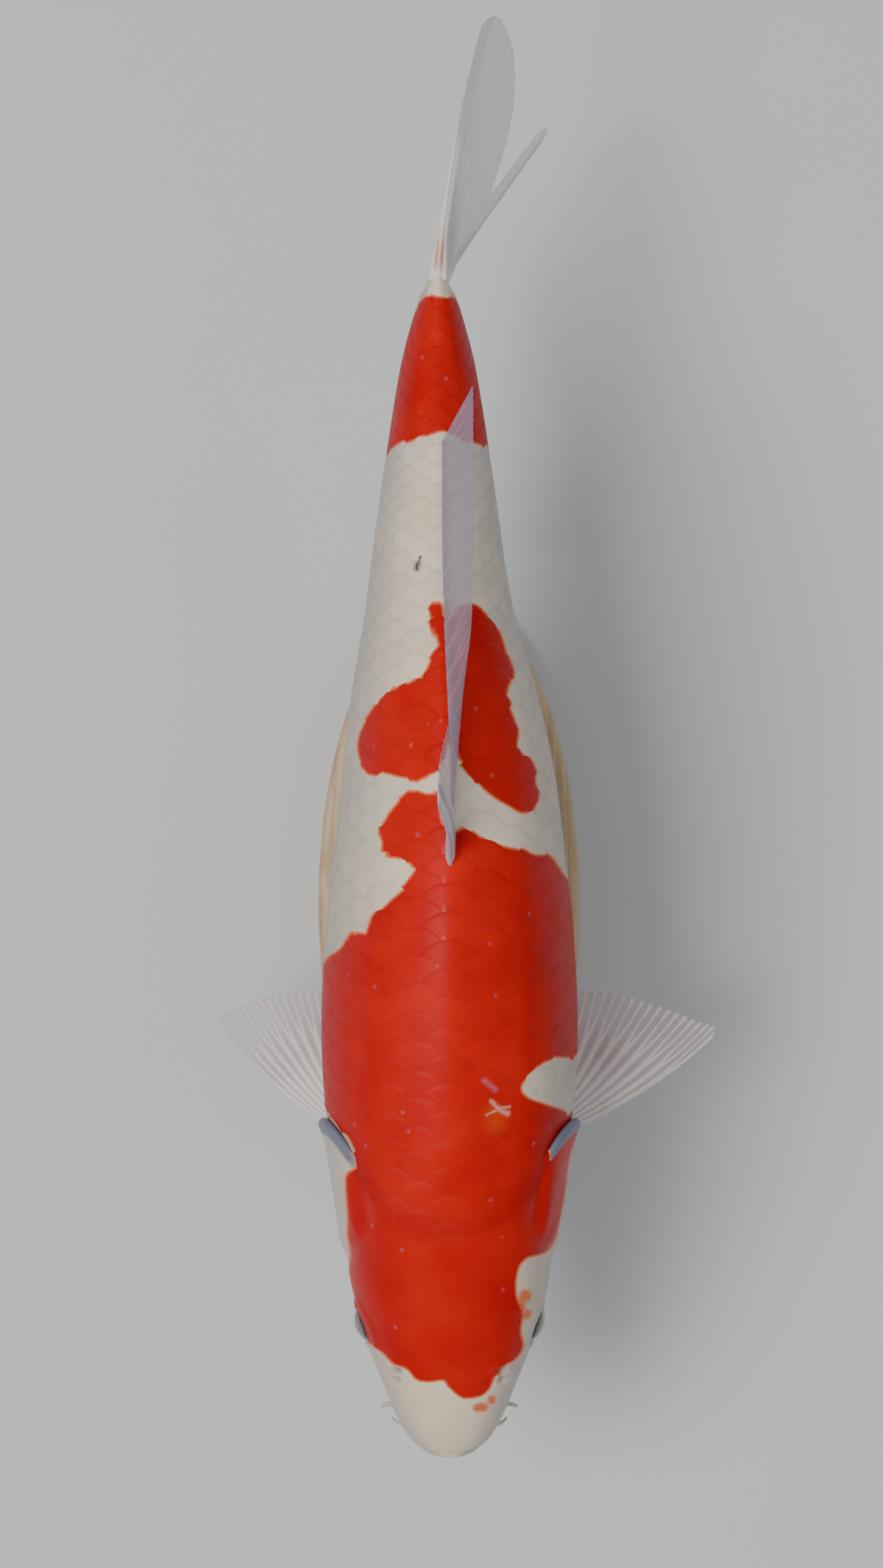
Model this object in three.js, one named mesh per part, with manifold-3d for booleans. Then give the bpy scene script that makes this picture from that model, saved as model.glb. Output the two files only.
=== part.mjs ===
// A life-size koi carp, 0.64 m long, swimming level above a plain display stand.
// Millimetres, +Z up. The snout points to -Y, the tail to +Y and the fish's left side to +X.
// The origin is the middle of the underside of the stand's base.
import * as THREE from 'three';
import { mergeVertices } from 'three/addons/utils/BufferGeometryUtils.js';
import Module from 'manifold-3d';

const wasm = await Module();
wasm.setup();

// ---------------------------------------------------------------- driving dimensions
const AXIS_HEIGHT = 165; // body axis above the floor
const SNOUT_Y = -245; // the snout tip's place along Y
const BODY_LENGTH = 530; // snout tip to the root of the tail fin
const GAP = 0.3; // clearance between neighbouring solids
const SWERVE = { side: -5.2, from: 290, to: 410 }; // sideways step of the rear body

// The body's lines: distance behind the snout tip, half width, and the heights of the
// back and the belly about the body axis.
const STATIONS = [
  { at: 0, half: 0, back: -13, belly: -13 }, // snout tip
  { at: 7, half: 17, back: 3, belly: -23 }, // lips
  { at: 18, half: 23.8, back: 14, belly: -30 }, // corner of the mouth
  { at: 33, half: 29.9, back: 24, belly: -36 }, // nostrils
  { at: 53, half: 37.4, back: 34, belly: -43 }, // front of the eye
  { at: 81, half: 44.9, back: 46, belly: -51 }, // cheek
  { at: 107, half: 48.7, back: 57, belly: -58 }, // nape
  { at: 134, half: 51.8, back: 66, belly: -64 }, // under the gill cover
  { at: 147, half: 53.4, back: 70, belly: -67 }, // gill opening
  { at: 160, half: 56.2, back: 73, belly: -70 }, // shoulder
  { at: 200, half: 58, back: 80, belly: -77 }, // broadest point
  { at: 240, half: 56.2, back: 84, belly: -80 }, // deepest point
  { at: 272, half: 52.5, back: 83, belly: -80 }, // front of the dorsal fin
  { at: 305, half: 48.7, back: 79, belly: -77 }, // pelvic fins
  { at: 338, half: 43.6, back: 73, belly: -71 },
  { at: 385, half: 33.3, back: 61, belly: -56 }, // vent
  { at: 437, half: 25.8, back: 48, belly: -40 }, // rear of the dorsal fin
  { at: 490, half: 17.4, back: 36, belly: -31 }, // thinnest part of the tail stalk
  { at: 510, half: 12.2, back: 34, belly: -30 },
  { at: 521, half: 8.6, back: 33.5, belly: -30.5 },
  { at: BODY_LENGTH, half: 4, back: 34, belly: -32 }, // root of the tail fin
];

// Fullness of the section above and below its widest level: 2 is an ellipse, more is boxier.
const FULLNESS = [
  { at: 0, above: 2, below: 2 },
  { at: 60, above: 2.35, below: 2.2 },
  { at: 110, above: 2.3, below: 2.3 },
  { at: 200, above: 2.0, below: 2.3 },
  { at: 272, above: 1.88, below: 2.25 },
  { at: 400, above: 1.95, below: 2.0 },
  { at: BODY_LENGTH, above: 2.2, below: 2.2 },
];
const WIDEST_LEVEL = 0.47; // widest level of a section, as a share of its depth

const CUTS = { napeAt: 107, napeRadius: 50, trunkAt: 268, stalkAt: 440 };
const MOUTH = { across: 19, back: 17, height: -14, sag: 9, deep: 5, gape: 0.9 };
const EYE = { at: 61.5, height: 5, radius: 8.2, bulge: 5, sunk: 2 };

const GILL_COVER = {
  top: 0.27 * Math.PI, // angle from the back's midline to the cover's upper edge
  bottom: 0.86 * Math.PI,
  frontTop: 106, frontBow: -16, // front edge, and how far it bows forward
  rearTop: 132, rearBow: 32, rearBottom: 97, // rear edge, and how far it bows back
  thickness: 1.9,
  flare: 3.6, // how far the rear edge stands off
};

const STAND = {
  length: 300, width: 128, thickness: 14, bevel: 2,
  rodRadius: 5, frontRod: 176, rearRod: 352, // rods, by distance behind the snout
  collarRadius: 13, collarHeight: 8,
  padRadius: 15, padBelow: 9, padAbove: 5, // pad under the belly
};

// ---------------------------------------------------------------- materials
const finish = (color, roughness, metalness = 0) =>
  new THREE.MeshStandardMaterial({ color, roughness, metalness });
const MATERIALS = {
  skin: finish(0xe9e2d6, 0.35),
  fin: finish(0xdcdad6, 0.4),
  eye: finish(0x1a1412, 0.08),
  barbel: finish(0xd9cdbf, 0.4),
  wood: finish(0xc9ac84, 0.5),
  steel: finish(0xb9bcc0, 0.3, 1),
  pad: finish(0xdfddd8, 0.7),
};

// ---------------------------------------------------------------- curves
// Monotone cubic through rows[i][key] against the square root of rows[i].at, which
// gives a blunt round nose.
function profile(rows, key) {
  const x = rows.map((row) => Math.sqrt(row.at));
  const y = rows.map((row) => row[key]);
  const slope = x.slice(1).map((_, i) => (y[i + 1] - y[i]) / (x[i + 1] - x[i]));
  const tangent = x.map((_, i) => {
    if (i === 0) return slope[0];
    if (i === x.length - 1) return slope[i - 1];
    if (slope[i - 1] * slope[i] <= 0) return 0;
    return (2 * slope[i - 1] * slope[i]) / (slope[i - 1] + slope[i]);
  });
  return (at) => {
    const q = Math.sqrt(THREE.MathUtils.clamp(at, 0, rows[rows.length - 1].at));
    let i = 0;
    while (i < x.length - 2 && q > x[i + 1]) i += 1;
    const h = x[i + 1] - x[i];
    const t = (q - x[i]) / h;
    const t2 = t * t;
    const t3 = t2 * t;
    return (
      (2 * t3 - 3 * t2 + 1) * y[i] + (t3 - 2 * t2 + t) * h * tangent[i] +
      (3 * t2 - 2 * t3) * y[i + 1] + (t3 - t2) * h * tangent[i + 1]
    );
  };
}

const halfWidth = profile(STATIONS, 'half');
const backHeight = profile(STATIONS, 'back');
const bellyHeight = profile(STATIONS, 'belly');
const fullAbove = profile(FULLNESS, 'above');
const fullBelow = profile(FULLNESS, 'below');
const midline = (at) => SWERVE.side * THREE.MathUtils.smoothstep(at, SWERVE.from, SWERVE.to);

// A point of the body's surface. The angle runs from 0 on the back, through a quarter turn
// on the left flank, to a half turn on the belly; the right flank has negative angles.
function bodyPoint(at, angle, grow = 0) {
  const top = backHeight(at) + grow;
  const bottom = bellyHeight(at) - grow;
  const level = bottom + WIDEST_LEVEL * (top - bottom);
  const sine = Math.sin(angle);
  const cosine = Math.cos(angle);
  const full = cosine >= 0 ? fullAbove(at) : fullBelow(at);
  const reach = cosine >= 0 ? top - level : level - bottom;
  const side = Math.sign(sine) * Math.abs(sine) ** (2 / full) * (halfWidth(at) + grow);
  const rise = Math.sign(cosine) * Math.abs(cosine) ** (2 / full) * reach;
  return new THREE.Vector3(midline(at) + side, SNOUT_Y + at, AXIS_HEIGHT + level + rise);
}

// ---------------------------------------------------------------- solids
function solidFromGeometry(geometry) {
  const bare = geometry.index ? geometry.toNonIndexed() : geometry.clone();
  bare.deleteAttribute('normal');
  bare.deleteAttribute('uv');
  const merged = mergeVertices(bare, 1e-4);
  return new wasm.Manifold(new wasm.Mesh({
    numProp: 3,
    vertProperties: new Float32Array(merged.attributes.position.array),
    triVerts: new Uint32Array(merged.index.array),
  }));
}

function geometryFromSolid(solid) {
  const mesh = solid.getMesh();
  const positions = new Float32Array(mesh.numVert * 3);
  for (let i = 0; i < mesh.numVert; i += 1) {
    positions.set(mesh.vertProperties.subarray(i * mesh.numProp, i * mesh.numProp + 3), i * 3);
  }
  const geometry = new THREE.BufferGeometry();
  geometry.setAttribute('position', new THREE.BufferAttribute(positions, 3));
  geometry.setIndex(new THREE.BufferAttribute(mesh.triVerts, 1));
  return geometry;
}

function indexedGeometry(points, triangles) {
  const geometry = new THREE.BufferGeometry().setFromPoints(points);
  geometry.setIndex(triangles);
  return geometry;
}

// The whole body as one closed loft of rings, with a point at the snout and a flat tail end.
function bodySolid(grow = 0) {
  const AROUND = 32;
  const RINGS = 40;
  const points = [bodyPoint(0, 0).setY(SNOUT_Y - grow)];
  for (let r = 1; r <= RINGS; r += 1) {
    const at = BODY_LENGTH * (0.35 * (r / RINGS) + 0.65 * (r / RINGS) ** 2);
    for (let k = 0; k < AROUND; k += 1) {
      points.push(bodyPoint(at, (2 * Math.PI * k) / AROUND, grow));
    }
  }
  const ring = (r, k) => 1 + (r - 1) * AROUND + (k % AROUND);
  const triangles = [];
  for (let k = 0; k < AROUND; k += 1) triangles.push(0, ring(1, k + 1), ring(1, k));
  for (let r = 1; r < RINGS; r += 1) {
    for (let k = 0; k < AROUND; k += 1) {
      triangles.push(ring(r, k), ring(r, k + 1), ring(r + 1, k));
      triangles.push(ring(r, k + 1), ring(r + 1, k + 1), ring(r + 1, k));
    }
  }
  for (let k = 1; k < AROUND - 1; k += 1) {
    triangles.push(ring(RINGS, 0), ring(RINGS, k), ring(RINGS, k + 1));
  }
  return solidFromGeometry(indexedGeometry(points, triangles));
}

// A closed plate between two sheets. outer(u, v) and inner(u, v) give its two faces.
function plateSolid(outer, inner, uSteps, vSteps) {
  const points = [];
  [outer, inner].forEach((sheet) => {
    for (let i = 0; i <= uSteps; i += 1) {
      for (let j = 0; j <= vSteps; j += 1) points.push(sheet(i / uSteps, j / vSteps));
    }
  });
  const row = vSteps + 1;
  const half = (uSteps + 1) * row;
  const triangles = [];
  const quad = (a, b, c, d) => triangles.push(a, b, c, a, c, d);
  for (let i = 0; i < uSteps; i += 1) {
    for (let j = 0; j < vSteps; j += 1) {
      const a = i * row + j;
      quad(a, a + row, a + row + 1, a + 1);
      quad(half + a, half + a + 1, half + a + row + 1, half + a + row);
    }
  }
  for (let i = 0; i < uSteps; i += 1) {
    const a = i * row;
    quad(a, half + a, half + a + row, a + row);
    const b = a + vSteps;
    quad(b, b + row, half + b + row, half + b);
  }
  for (let j = 0; j < vSteps; j += 1) {
    quad(j, j + 1, half + j + 1, half + j);
    const b = uSteps * row + j;
    quad(b, half + b, half + b + 1, b + 1);
  }
  const solid = solidFromGeometry(indexedGeometry(points, triangles));
  if (solid.volume() > 0) return solid;
  const turned = [];
  for (let i = 0; i < triangles.length; i += 3) {
    turned.push(triangles[i], triangles[i + 2], triangles[i + 1]);
  }
  return solidFromGeometry(indexedGeometry(points, turned));
}

// A fin: a sheet of rays given half its thickness on each side, thick at the root. lead is
// the extra thickness of the stout rays along its front edge.
function finSolid({ sheet, rays, steps, root, edge, lead = 0 }) {
  const normal = (u, v) => {
    const e = 0.02;
    const across = sheet(Math.min(u + e, 1), v).sub(sheet(Math.max(u - e, 0), v));
    const along = sheet(u, Math.min(v + e, 1)).sub(sheet(u, Math.max(v - e, 0)));
    return across.cross(along).normalize();
  };
  const face = (side) => (u, v) => {
    const rim = Math.sin(Math.PI * Math.min(Math.max(u, 0.08), 0.92));
    const stout = lead * Math.exp(-((u / 0.09) ** 2)) * (1 - 0.75 * v);
    const thick = THREE.MathUtils.lerp(root, edge, Math.sqrt(v)) * (0.4 + 0.6 * rim) + stout;
    return sheet(u, v).addScaledVector(normal(u, v), side * Math.max(thick, edge) * 0.5);
  };
  return plateSolid(face(1), face(-1), rays, steps);
}

const place = (at, x, z) => new THREE.Vector3(x, SNOUT_Y + at, AXIS_HEIGHT + z);
const mix = THREE.MathUtils.lerp;
const radians = THREE.MathUtils.degToRad;

// ---------------------------------------------------------------- fins
// Tail fin. share runs from 0 on the top ray, through 0.5 at the fork, to 1 on the bottom
// ray. Each ray has a length, a pitch above the level and a swing to the left.
const TAIL = {
  fork: 47, upper: 119, lower: 119, // ray lengths at the fork and the two tips
  rise: 28, droop: 35, // pitch of the top and bottom rays
  swingTop: 11, swingFork: 32, swingBottom: 32, // swing of the top ray, the fork and the bottom ray
  top: 32.5, bottom: -30.5, sink: 4, // root's upper and lower end, and its depth in the stalk
};
function tailSheet(share, v) {
  const spread = Math.abs(2 * share - 1);
  const tipRound = 1 - 0.05 * Math.max(1 - 8 * (1 - spread), 0) ** 2;
  const longest = share < 0.5 ? TAIL.upper : TAIL.lower;
  const length = mix(TAIL.fork, longest, THREE.MathUtils.smoothstep(spread, 0, 1)) * tipRound;
  const pitch = radians(mix(TAIL.rise, -TAIL.droop, share));
  const swing = radians(share < 0.5
    ? mix(TAIL.swingFork, TAIL.swingTop, spread ** 1.4)
    : mix(TAIL.swingFork, TAIL.swingBottom, spread) - 1.5 * Math.sin(Math.PI * spread));
  const level = (length * Math.cos(pitch) + TAIL.sink) * v;
  const bend = v ** mix(1.5, 1.15, Math.min(2 * share, 1));
  return place(
    BODY_LENGTH - TAIL.sink + level * Math.cos(swing),
    midline(BODY_LENGTH) + length * Math.cos(pitch) * Math.sin(swing) * bend,
    mix(TAIL.top, TAIL.bottom, share) + length * Math.sin(pitch) * v,
  );
}

// Dorsal fin: half folded back, leaning to the left, more so towards the rear.
const DORSAL = { from: 267, to: 450, tall: 53, low: 33, last: 34, sink: 4 };
function dorsalSheet(u, v) {
  const at = mix(DORSAL.from, DORSAL.to, u);
  const length = u < 0.9
    ? mix(DORSAL.tall, DORSAL.low, THREE.MathUtils.smoothstep(u, 0, 0.6))
    : mix(DORSAL.low, DORSAL.last, (u - 0.9) / 0.1);
  const pitch = radians(mix(58, 36, u ** 0.8));
  const lean = radians(mix(-5, 42, THREE.MathUtils.smoothstep(u, 0.05, 0.75)));
  const run = length * v;
  const up = run * Math.sin(pitch);
  return place(
    at + run * Math.cos(pitch),
    midline(at) + 1.1 * up * Math.sin(lean),
    backHeight(at) - DORSAL.sink + (up + DORSAL.sink * v) * Math.cos(lean),
  );
}

// Anal fin: short, hanging below the tail's start.
const ANAL = { from: 396, to: 428, tall: 50, low: 22, sink: 4 };
function analSheet(u, v) {
  const at = mix(ANAL.from, ANAL.to, u);
  const tipRound = 1 - 0.12 * Math.max(1 - u * 5, 0) ** 2;
  const run = mix(ANAL.tall, ANAL.low, u ** 0.8) * tipRound * v;
  const pitch = radians(mix(58, 40, u));
  return place(
    at + run * Math.cos(pitch),
    midline(at) - 0.06 * run,
    bellyHeight(at) + ANAL.sink - (run + ANAL.sink * v) * Math.sin(pitch),
  );
}

// Pectoral fins: broad fans held out and down. side is 1 on the left and -1 on the right.
// swing is the front ray's angle behind square to the body, drop its slope down, and bow
// how far the front ray turns back along its length, in radians.
const PECTORAL = { at: 143.5, out: 49.5, down: -33, rootRun: 10, long: 95, short: 53, bow: 0.5 };
const PECTORAL_POSE = { left: { swing: 17, drop: 18 }, right: { swing: 21, drop: 39 } };
const pectoralSheet = (side, pose) => (u, v) => {
  const swing = radians(mix(pose.swing, 84, u ** 1.45));
  const drop = radians(mix(pose.drop, 22, u));
  const tipRound = 1 - 0.09 * Math.max(1 - u * 9, 0) ** 2;
  const run = mix(PECTORAL.long, PECTORAL.short, u ** 0.85) * tipRound * v;
  const bow = (PECTORAL.bow * (1 - 0.6 * u) * run * run) / (2 * PECTORAL.long);
  const out = run * Math.cos(swing) - bow * Math.sin(swing);
  const back = run * Math.sin(swing) + bow * Math.cos(swing);
  return place(
    PECTORAL.at + PECTORAL.rootRun * u + back * Math.cos(drop * 0.5),
    side * (PECTORAL.out - 3 * u + out * Math.cos(drop)),
    PECTORAL.down - 9 * u - run * Math.sin(drop),
  );
};

// Pelvic fins: smaller fans under the belly, trailing back and down.
const PELVIC = { at: 287, out: 16, down: -72, long: 62, short: 36 };
const pelvicSheet = (side) => (u, v) => {
  const splay = radians(mix(30, 4, u));
  const drop = radians(mix(32, 22, u));
  const tipRound = 1 - 0.12 * Math.max(1 - u * 5, 0) ** 2;
  const run = mix(PELVIC.long, PELVIC.short, u ** 0.8) * tipRound * v;
  return place(
    PELVIC.at + 9 * u + run * Math.cos(splay) * Math.cos(drop),
    side * (PELVIC.out - 7 * u + run * Math.sin(splay)),
    PELVIC.down - run * Math.sin(drop) * (1 - 0.25 * v),
  );
};

// ---------------------------------------------------------------- head parts
function gillCoverSolid(side) {
  const g = GILL_COVER;
  const sheet = (lift, flare) => (u, v) => {
    const arch = Math.sin(Math.PI * v ** 0.7);
    const front = g.frontTop + g.frontBow * Math.sin(Math.PI * v * 0.8);
    const rear = mix(g.rearTop, g.rearBottom, v) + g.rearBow * arch;
    const at = mix(front, rear, u);
    const stand = lift * (0.55 + 0.45 * Math.sin(Math.PI * Math.min(u + 0.12, 1)));
    return bodyPoint(at, side * mix(g.top, g.bottom, v), GAP + stand + flare * u ** 3 * arch);
  };
  return plateSolid(sheet(g.thickness, g.flare), sheet(0, g.flare - 0.6), 8, 12);
}

// A tapered feeler along a bent line, from inside the lip outwards.
function barbelSolid(points, thick, thin) {
  const SIDES = 6;
  const STEPS = 7;
  const curve = new THREE.QuadraticBezierCurve3(...points);
  const frames = curve.computeFrenetFrames(STEPS);
  const rings = [];
  for (let i = 0; i <= STEPS; i += 1) {
    const centre = curve.getPointAt(i / STEPS);
    for (let k = 0; k < SIDES; k += 1) {
      const turn = (2 * Math.PI * k) / SIDES;
      const radius = mix(thick, thin, i / STEPS);
      rings.push(centre.clone()
        .addScaledVector(frames.normals[i], radius * Math.cos(turn))
        .addScaledVector(frames.binormals[i], radius * Math.sin(turn)));
    }
  }
  const triangles = [];
  const ring = (i, k) => i * SIDES + (k % SIDES);
  for (let i = 0; i < STEPS; i += 1) {
    for (let k = 0; k < SIDES; k += 1) {
      triangles.push(ring(i, k), ring(i, k + 1), ring(i + 1, k));
      triangles.push(ring(i, k + 1), ring(i + 1, k + 1), ring(i + 1, k));
    }
  }
  for (let k = 1; k < SIDES - 1; k += 1) {
    triangles.push(ring(0, 0), ring(0, k + 1), ring(0, k));
    triangles.push(ring(STEPS, 0), ring(STEPS, k), ring(STEPS, k + 1));
  }
  return solidFromGeometry(indexedGeometry(rings, triangles));
}

// Barbels by their root, bend and tip: distance behind the snout, offset and height.
const BARBELS = {
  upper: { points: [[14, 15, -11], [13, 24, -11], [16, 26, -20]], thick: 1.1, thin: 0.5 },
  lower: { points: [[23, 19, -19], [22, 31, -19], [18, 31, -35]], thick: 1.5, thin: 0.6 },
};

// The parting between the lips: a thin curved slab round the front of the snout.
function mouthSolid() {
  const m = MOUTH;
  const sheet = (half) => (u, v) => {
    const turn = (u - 0.5) * Math.PI;
    const inset = mix(-3, m.deep, v);
    return place(
      m.back * (1 - Math.cos(turn)) + inset * Math.cos(turn),
      (m.across - inset) * Math.sin(turn),
      m.height - m.sag * Math.sin(turn) ** 2 + half,
    );
  };
  return plateSolid(sheet(m.gape / 2), sheet(-m.gape / 2), 12, 1);
}

// A flattened ball set in the side of the head.
function eyeSolid(side, grow = 0) {
  const socket = bodyPoint(EYE.at, side * Math.PI * 0.46);
  const ball = new THREE.SphereGeometry(1, 16, 10);
  ball.rotateZ(Math.PI / 2);
  ball.scale(EYE.bulge + grow, EYE.radius + grow, EYE.radius + grow);
  ball.translate(socket.x - side * EYE.sunk, socket.y, AXIS_HEIGHT + EYE.height);
  return solidFromGeometry(ball);
}

// ---------------------------------------------------------------- stand
function standBaseSolid() {
  const shape = new THREE.Shape();
  const b = STAND.bevel;
  shape.absellipse(0, 0, STAND.width / 2 - b, STAND.length / 2 - b, 0, 2 * Math.PI);
  const slab = new THREE.ExtrudeGeometry(shape, {
    depth: STAND.thickness - 2 * b, bevelEnabled: true, bevelThickness: b, bevelSize: b,
    bevelSegments: 1, curveSegments: 14,
  });
  slab.translate(0, 0, b);
  return solidFromGeometry(slab);
}

// A solid of revolution about a vertical line at y, from [radius, z] corners.
function turnedSolid(corners, y) {
  const lathe = new THREE.LatheGeometry(corners.map(([r, z]) => new THREE.Vector2(r, z)), 18);
  lathe.rotateX(Math.PI / 2);
  lathe.translate(0, y, 0);
  return solidFromGeometry(lathe);
}

// Rod, floor collar and belly pad at one place along the body.
function supportSolids(at, hollow) {
  const y = SNOUT_Y + at;
  const belly = AXIS_HEIGHT + bellyHeight(at);
  const foot = STAND.thickness;
  const padFoot = belly - STAND.padBelow;
  const rod = STAND.rodRadius;
  return {
    rod: turnedSolid([[0, foot], [rod, foot], [rod, padFoot], [0, padFoot]], y),
    collar: turnedSolid([
      [rod + GAP, foot], [STAND.collarRadius, foot], [STAND.collarRadius, foot + 3],
      [rod + 3, foot + STAND.collarHeight], [rod + GAP, foot + STAND.collarHeight],
      [rod + GAP, foot],
    ], y),
    pad: turnedSolid([
      [0, padFoot], [rod + 3, padFoot], [STAND.padRadius, belly - 2],
      [STAND.padRadius, belly + STAND.padAbove], [0, belly + STAND.padAbove],
    ], y).subtract(hollow),
  };
}

// ---------------------------------------------------------------- assembly
const koi = new THREE.Group();

function add(name, solid, material) {
  const mesh = new THREE.Mesh(geometryFromSolid(solid), material);
  mesh.name = name;
  koi.add(mesh);
}

// A box over the whole section, from one distance behind the snout to another.
function slice(from, to) {
  const box = new THREE.BoxGeometry(400, to - from, 400);
  box.translate(0, SNOUT_Y + (from + to) / 2, AXIS_HEIGHT);
  return solidFromGeometry(box);
}

// Everything behind the nape: the round collar where the trunk's muscle starts, and the
// space behind it.
function behindNape(grow) {
  const { napeAt, napeRadius } = CUTS;
  const collar = new THREE.CylinderGeometry(napeRadius + grow, napeRadius + grow, 400, 28);
  collar.rotateX(Math.PI / 2);
  collar.translate(0, SNOUT_Y + napeAt + napeRadius, AXIS_HEIGHT);
  return solidFromGeometry(collar).add(slice(napeAt + napeRadius - 19 - grow, 700));
}

const body = bodySolid();
const clearBody = bodySolid(GAP);
const sides = { left: 1, right: -1 };

const sockets = eyeSolid(1, GAP).add(eyeSolid(-1, GAP));
const face = body.subtract(behindNape(GAP)).subtract(sockets).subtract(mouthSolid());
add('head', face, MATERIALS.skin);
add('trunk_front', body.intersect(behindNape(0)).intersect(slice(0, CUTS.trunkAt)), MATERIALS.skin);
add('trunk_rear', body.intersect(slice(CUTS.trunkAt + GAP, CUTS.stalkAt)), MATERIALS.skin);
add('tail_stalk', body.intersect(slice(CUTS.stalkAt + GAP, 700)), MATERIALS.skin);

const TAIL_PARTING = 0.004; // share of the fin left open between its two lobes
const lobe = (from, to) => (u, v) => tailSheet(mix(from, to, u), v);
const tailLobes = {
  tail_fin_upper: lobe(0, 0.5 - TAIL_PARTING),
  tail_fin_lower: lobe(0.5 + TAIL_PARTING, 1),
};
Object.entries(tailLobes).forEach(([name, sheet]) => {
  const lead = name === 'tail_fin_upper' ? 3 : 0;
  const fin = finSolid({ sheet, rays: 8, steps: 8, root: 4.5, edge: 0.7, lead });
  add(name, fin.subtract(clearBody), MATERIALS.fin);
});

const dorsal = finSolid({ sheet: dorsalSheet, rays: 16, steps: 4, root: 3.4, edge: 0.7, lead: 3.2 });
add('dorsal_fin', dorsal.subtract(clearBody), MATERIALS.fin);
const anal = finSolid({ sheet: analSheet, rays: 6, steps: 6, root: 3, edge: 0.7 });
add('anal_fin', anal.subtract(clearBody), MATERIALS.fin);

Object.entries(sides).forEach(([name, side]) => {
  const cover = gillCoverSolid(side);
  add(`gill_cover_${name}`, cover, MATERIALS.skin);
  const pectoral = finSolid({
    sheet: pectoralSheet(side, PECTORAL_POSE[name]), rays: 8, steps: 8, root: 4, edge: 0.7,
  });
  add(`pectoral_fin_${name}`, pectoral.subtract(clearBody), MATERIALS.fin);
  const pelvic = finSolid({ sheet: pelvicSheet(side), rays: 6, steps: 6, root: 3.2, edge: 0.7 });
  add(`pelvic_fin_${name}`, pelvic.subtract(clearBody), MATERIALS.fin);
  add(`eye_${name}`, eyeSolid(side), MATERIALS.eye);
  Object.entries(BARBELS).forEach(([row, { points, thick, thin }]) => {
    const line = points.map(([at, out, down]) => place(at, side * out, down));
    add(`barbel_${row}_${name}`, barbelSolid(line, thick, thin).subtract(clearBody), MATERIALS.barbel);
  });
});

add('stand_base', standBaseSolid(), MATERIALS.wood);
Object.entries({ front: STAND.frontRod, rear: STAND.rearRod }).forEach(([name, at]) => {
  const support = supportSolids(at, clearBody);
  add(`stand_rod_${name}`, support.rod, MATERIALS.steel);
  add(`stand_collar_${name}`, support.collar, MATERIALS.steel);
  add(`stand_pad_${name}`, support.pad, MATERIALS.pad);
});

export default koi;
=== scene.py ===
"""Dresses a life-size koi carp on its display stand.

One continuous skin carries the head's relief and the gill openings. Overlapping scales lie over
its trunk, and rayed fins, eyes, feelers and the stand are separate pieces. Distances inside the
classes are millimetres, and a mesh is scaled to metres when it is made. "at" is a distance behind
the snout tip. "share" is a sideways place: 0 is the midline of the back, 1 the widest line of the
left flank and 2 the midline of the belly, and the right flank's places are negative.
"""

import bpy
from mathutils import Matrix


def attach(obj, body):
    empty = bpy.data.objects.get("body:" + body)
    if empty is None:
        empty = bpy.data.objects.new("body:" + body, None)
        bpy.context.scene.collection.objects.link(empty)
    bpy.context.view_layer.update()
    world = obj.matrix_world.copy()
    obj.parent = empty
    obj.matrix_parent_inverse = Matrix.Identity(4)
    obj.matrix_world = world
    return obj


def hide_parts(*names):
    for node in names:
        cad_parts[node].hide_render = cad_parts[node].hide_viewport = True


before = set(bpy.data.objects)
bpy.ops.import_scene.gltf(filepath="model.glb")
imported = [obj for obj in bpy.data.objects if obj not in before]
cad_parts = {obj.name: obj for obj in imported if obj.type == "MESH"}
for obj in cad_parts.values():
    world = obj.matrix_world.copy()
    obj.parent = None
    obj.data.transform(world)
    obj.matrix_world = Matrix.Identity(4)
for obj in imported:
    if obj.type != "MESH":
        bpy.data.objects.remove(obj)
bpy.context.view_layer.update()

import logging
import math
from dataclasses import dataclass
from enum import Enum
from typing import NamedTuple, Sequence

import bpy
import numpy as np

LOG = logging.getLogger("koi")
MM = 0.001
PI = math.pi
Array = np.ndarray
Generator = np.random.Generator
Pair = tuple[float, float]
Floats = tuple[float, ...]
Colour = tuple[float, float, float]
Piece = bpy.types.Object
Material = bpy.types.Material
Nodes = bpy.types.NodeTree
Node = bpy.types.Node
Socket = bpy.types.NodeSocket
Input = Socket | Colour | float


class Flank(Enum):
    """The two flanks, each with the sign of its sideways direction."""

    LEFT = 1.0
    RIGHT = -1.0

    @property
    def word(self) -> str:
        """The flank's name as it stands in the names of pieces."""
        return self.name.lower()


class Slot(Enum):
    """The material slots."""

    SKIN = "skin"
    FIN = "fin"
    EYE = "eye"
    BARBEL = "barbel"
    WOOD = "wood"
    STEEL = "steel"
    PAD = "pad"


# ---- small shapes of numbers
def ease(value: Array, start: float, stop: float) -> Array:
    """A smooth rise from 0 at start to 1 at stop: 3t squared minus 2t cubed."""
    t = np.clip((value - start) / (stop - start), 0.0, 1.0)
    return t * t * (3.0 - 2.0 * t)


def mix(low: Array, high: Array, share: Array) -> Array:
    """Goes straight from low to high as share goes from 0 to 1."""
    return low + (high - low) * share


def bell(value: Array, centre: Array, width: float) -> Array:
    """A hump of height 1: e to the minus square of the distance over the width."""
    return np.exp(-(((value - centre) / width) ** 2))


def plateau(value: Array, span: Sequence[float]) -> Array:
    """1 between the span's second and third values, eased to 0 at its first and last."""
    return ease(value, span[0], span[1]) * (1 - ease(value, span[2], span[3]))


def round_angles(count: int) -> Array:
    """Even angles once round, from 0."""
    return np.arange(count) / count * 2 * PI


class Ridge(NamedTuple):
    """A long hump, or a groove where its height is negative."""

    height: float
    middle: float
    width: float

    def over(self, value: Array) -> Array:
        """Its height at each value."""
        return self.height * bell(value, self.middle, self.width)


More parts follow.
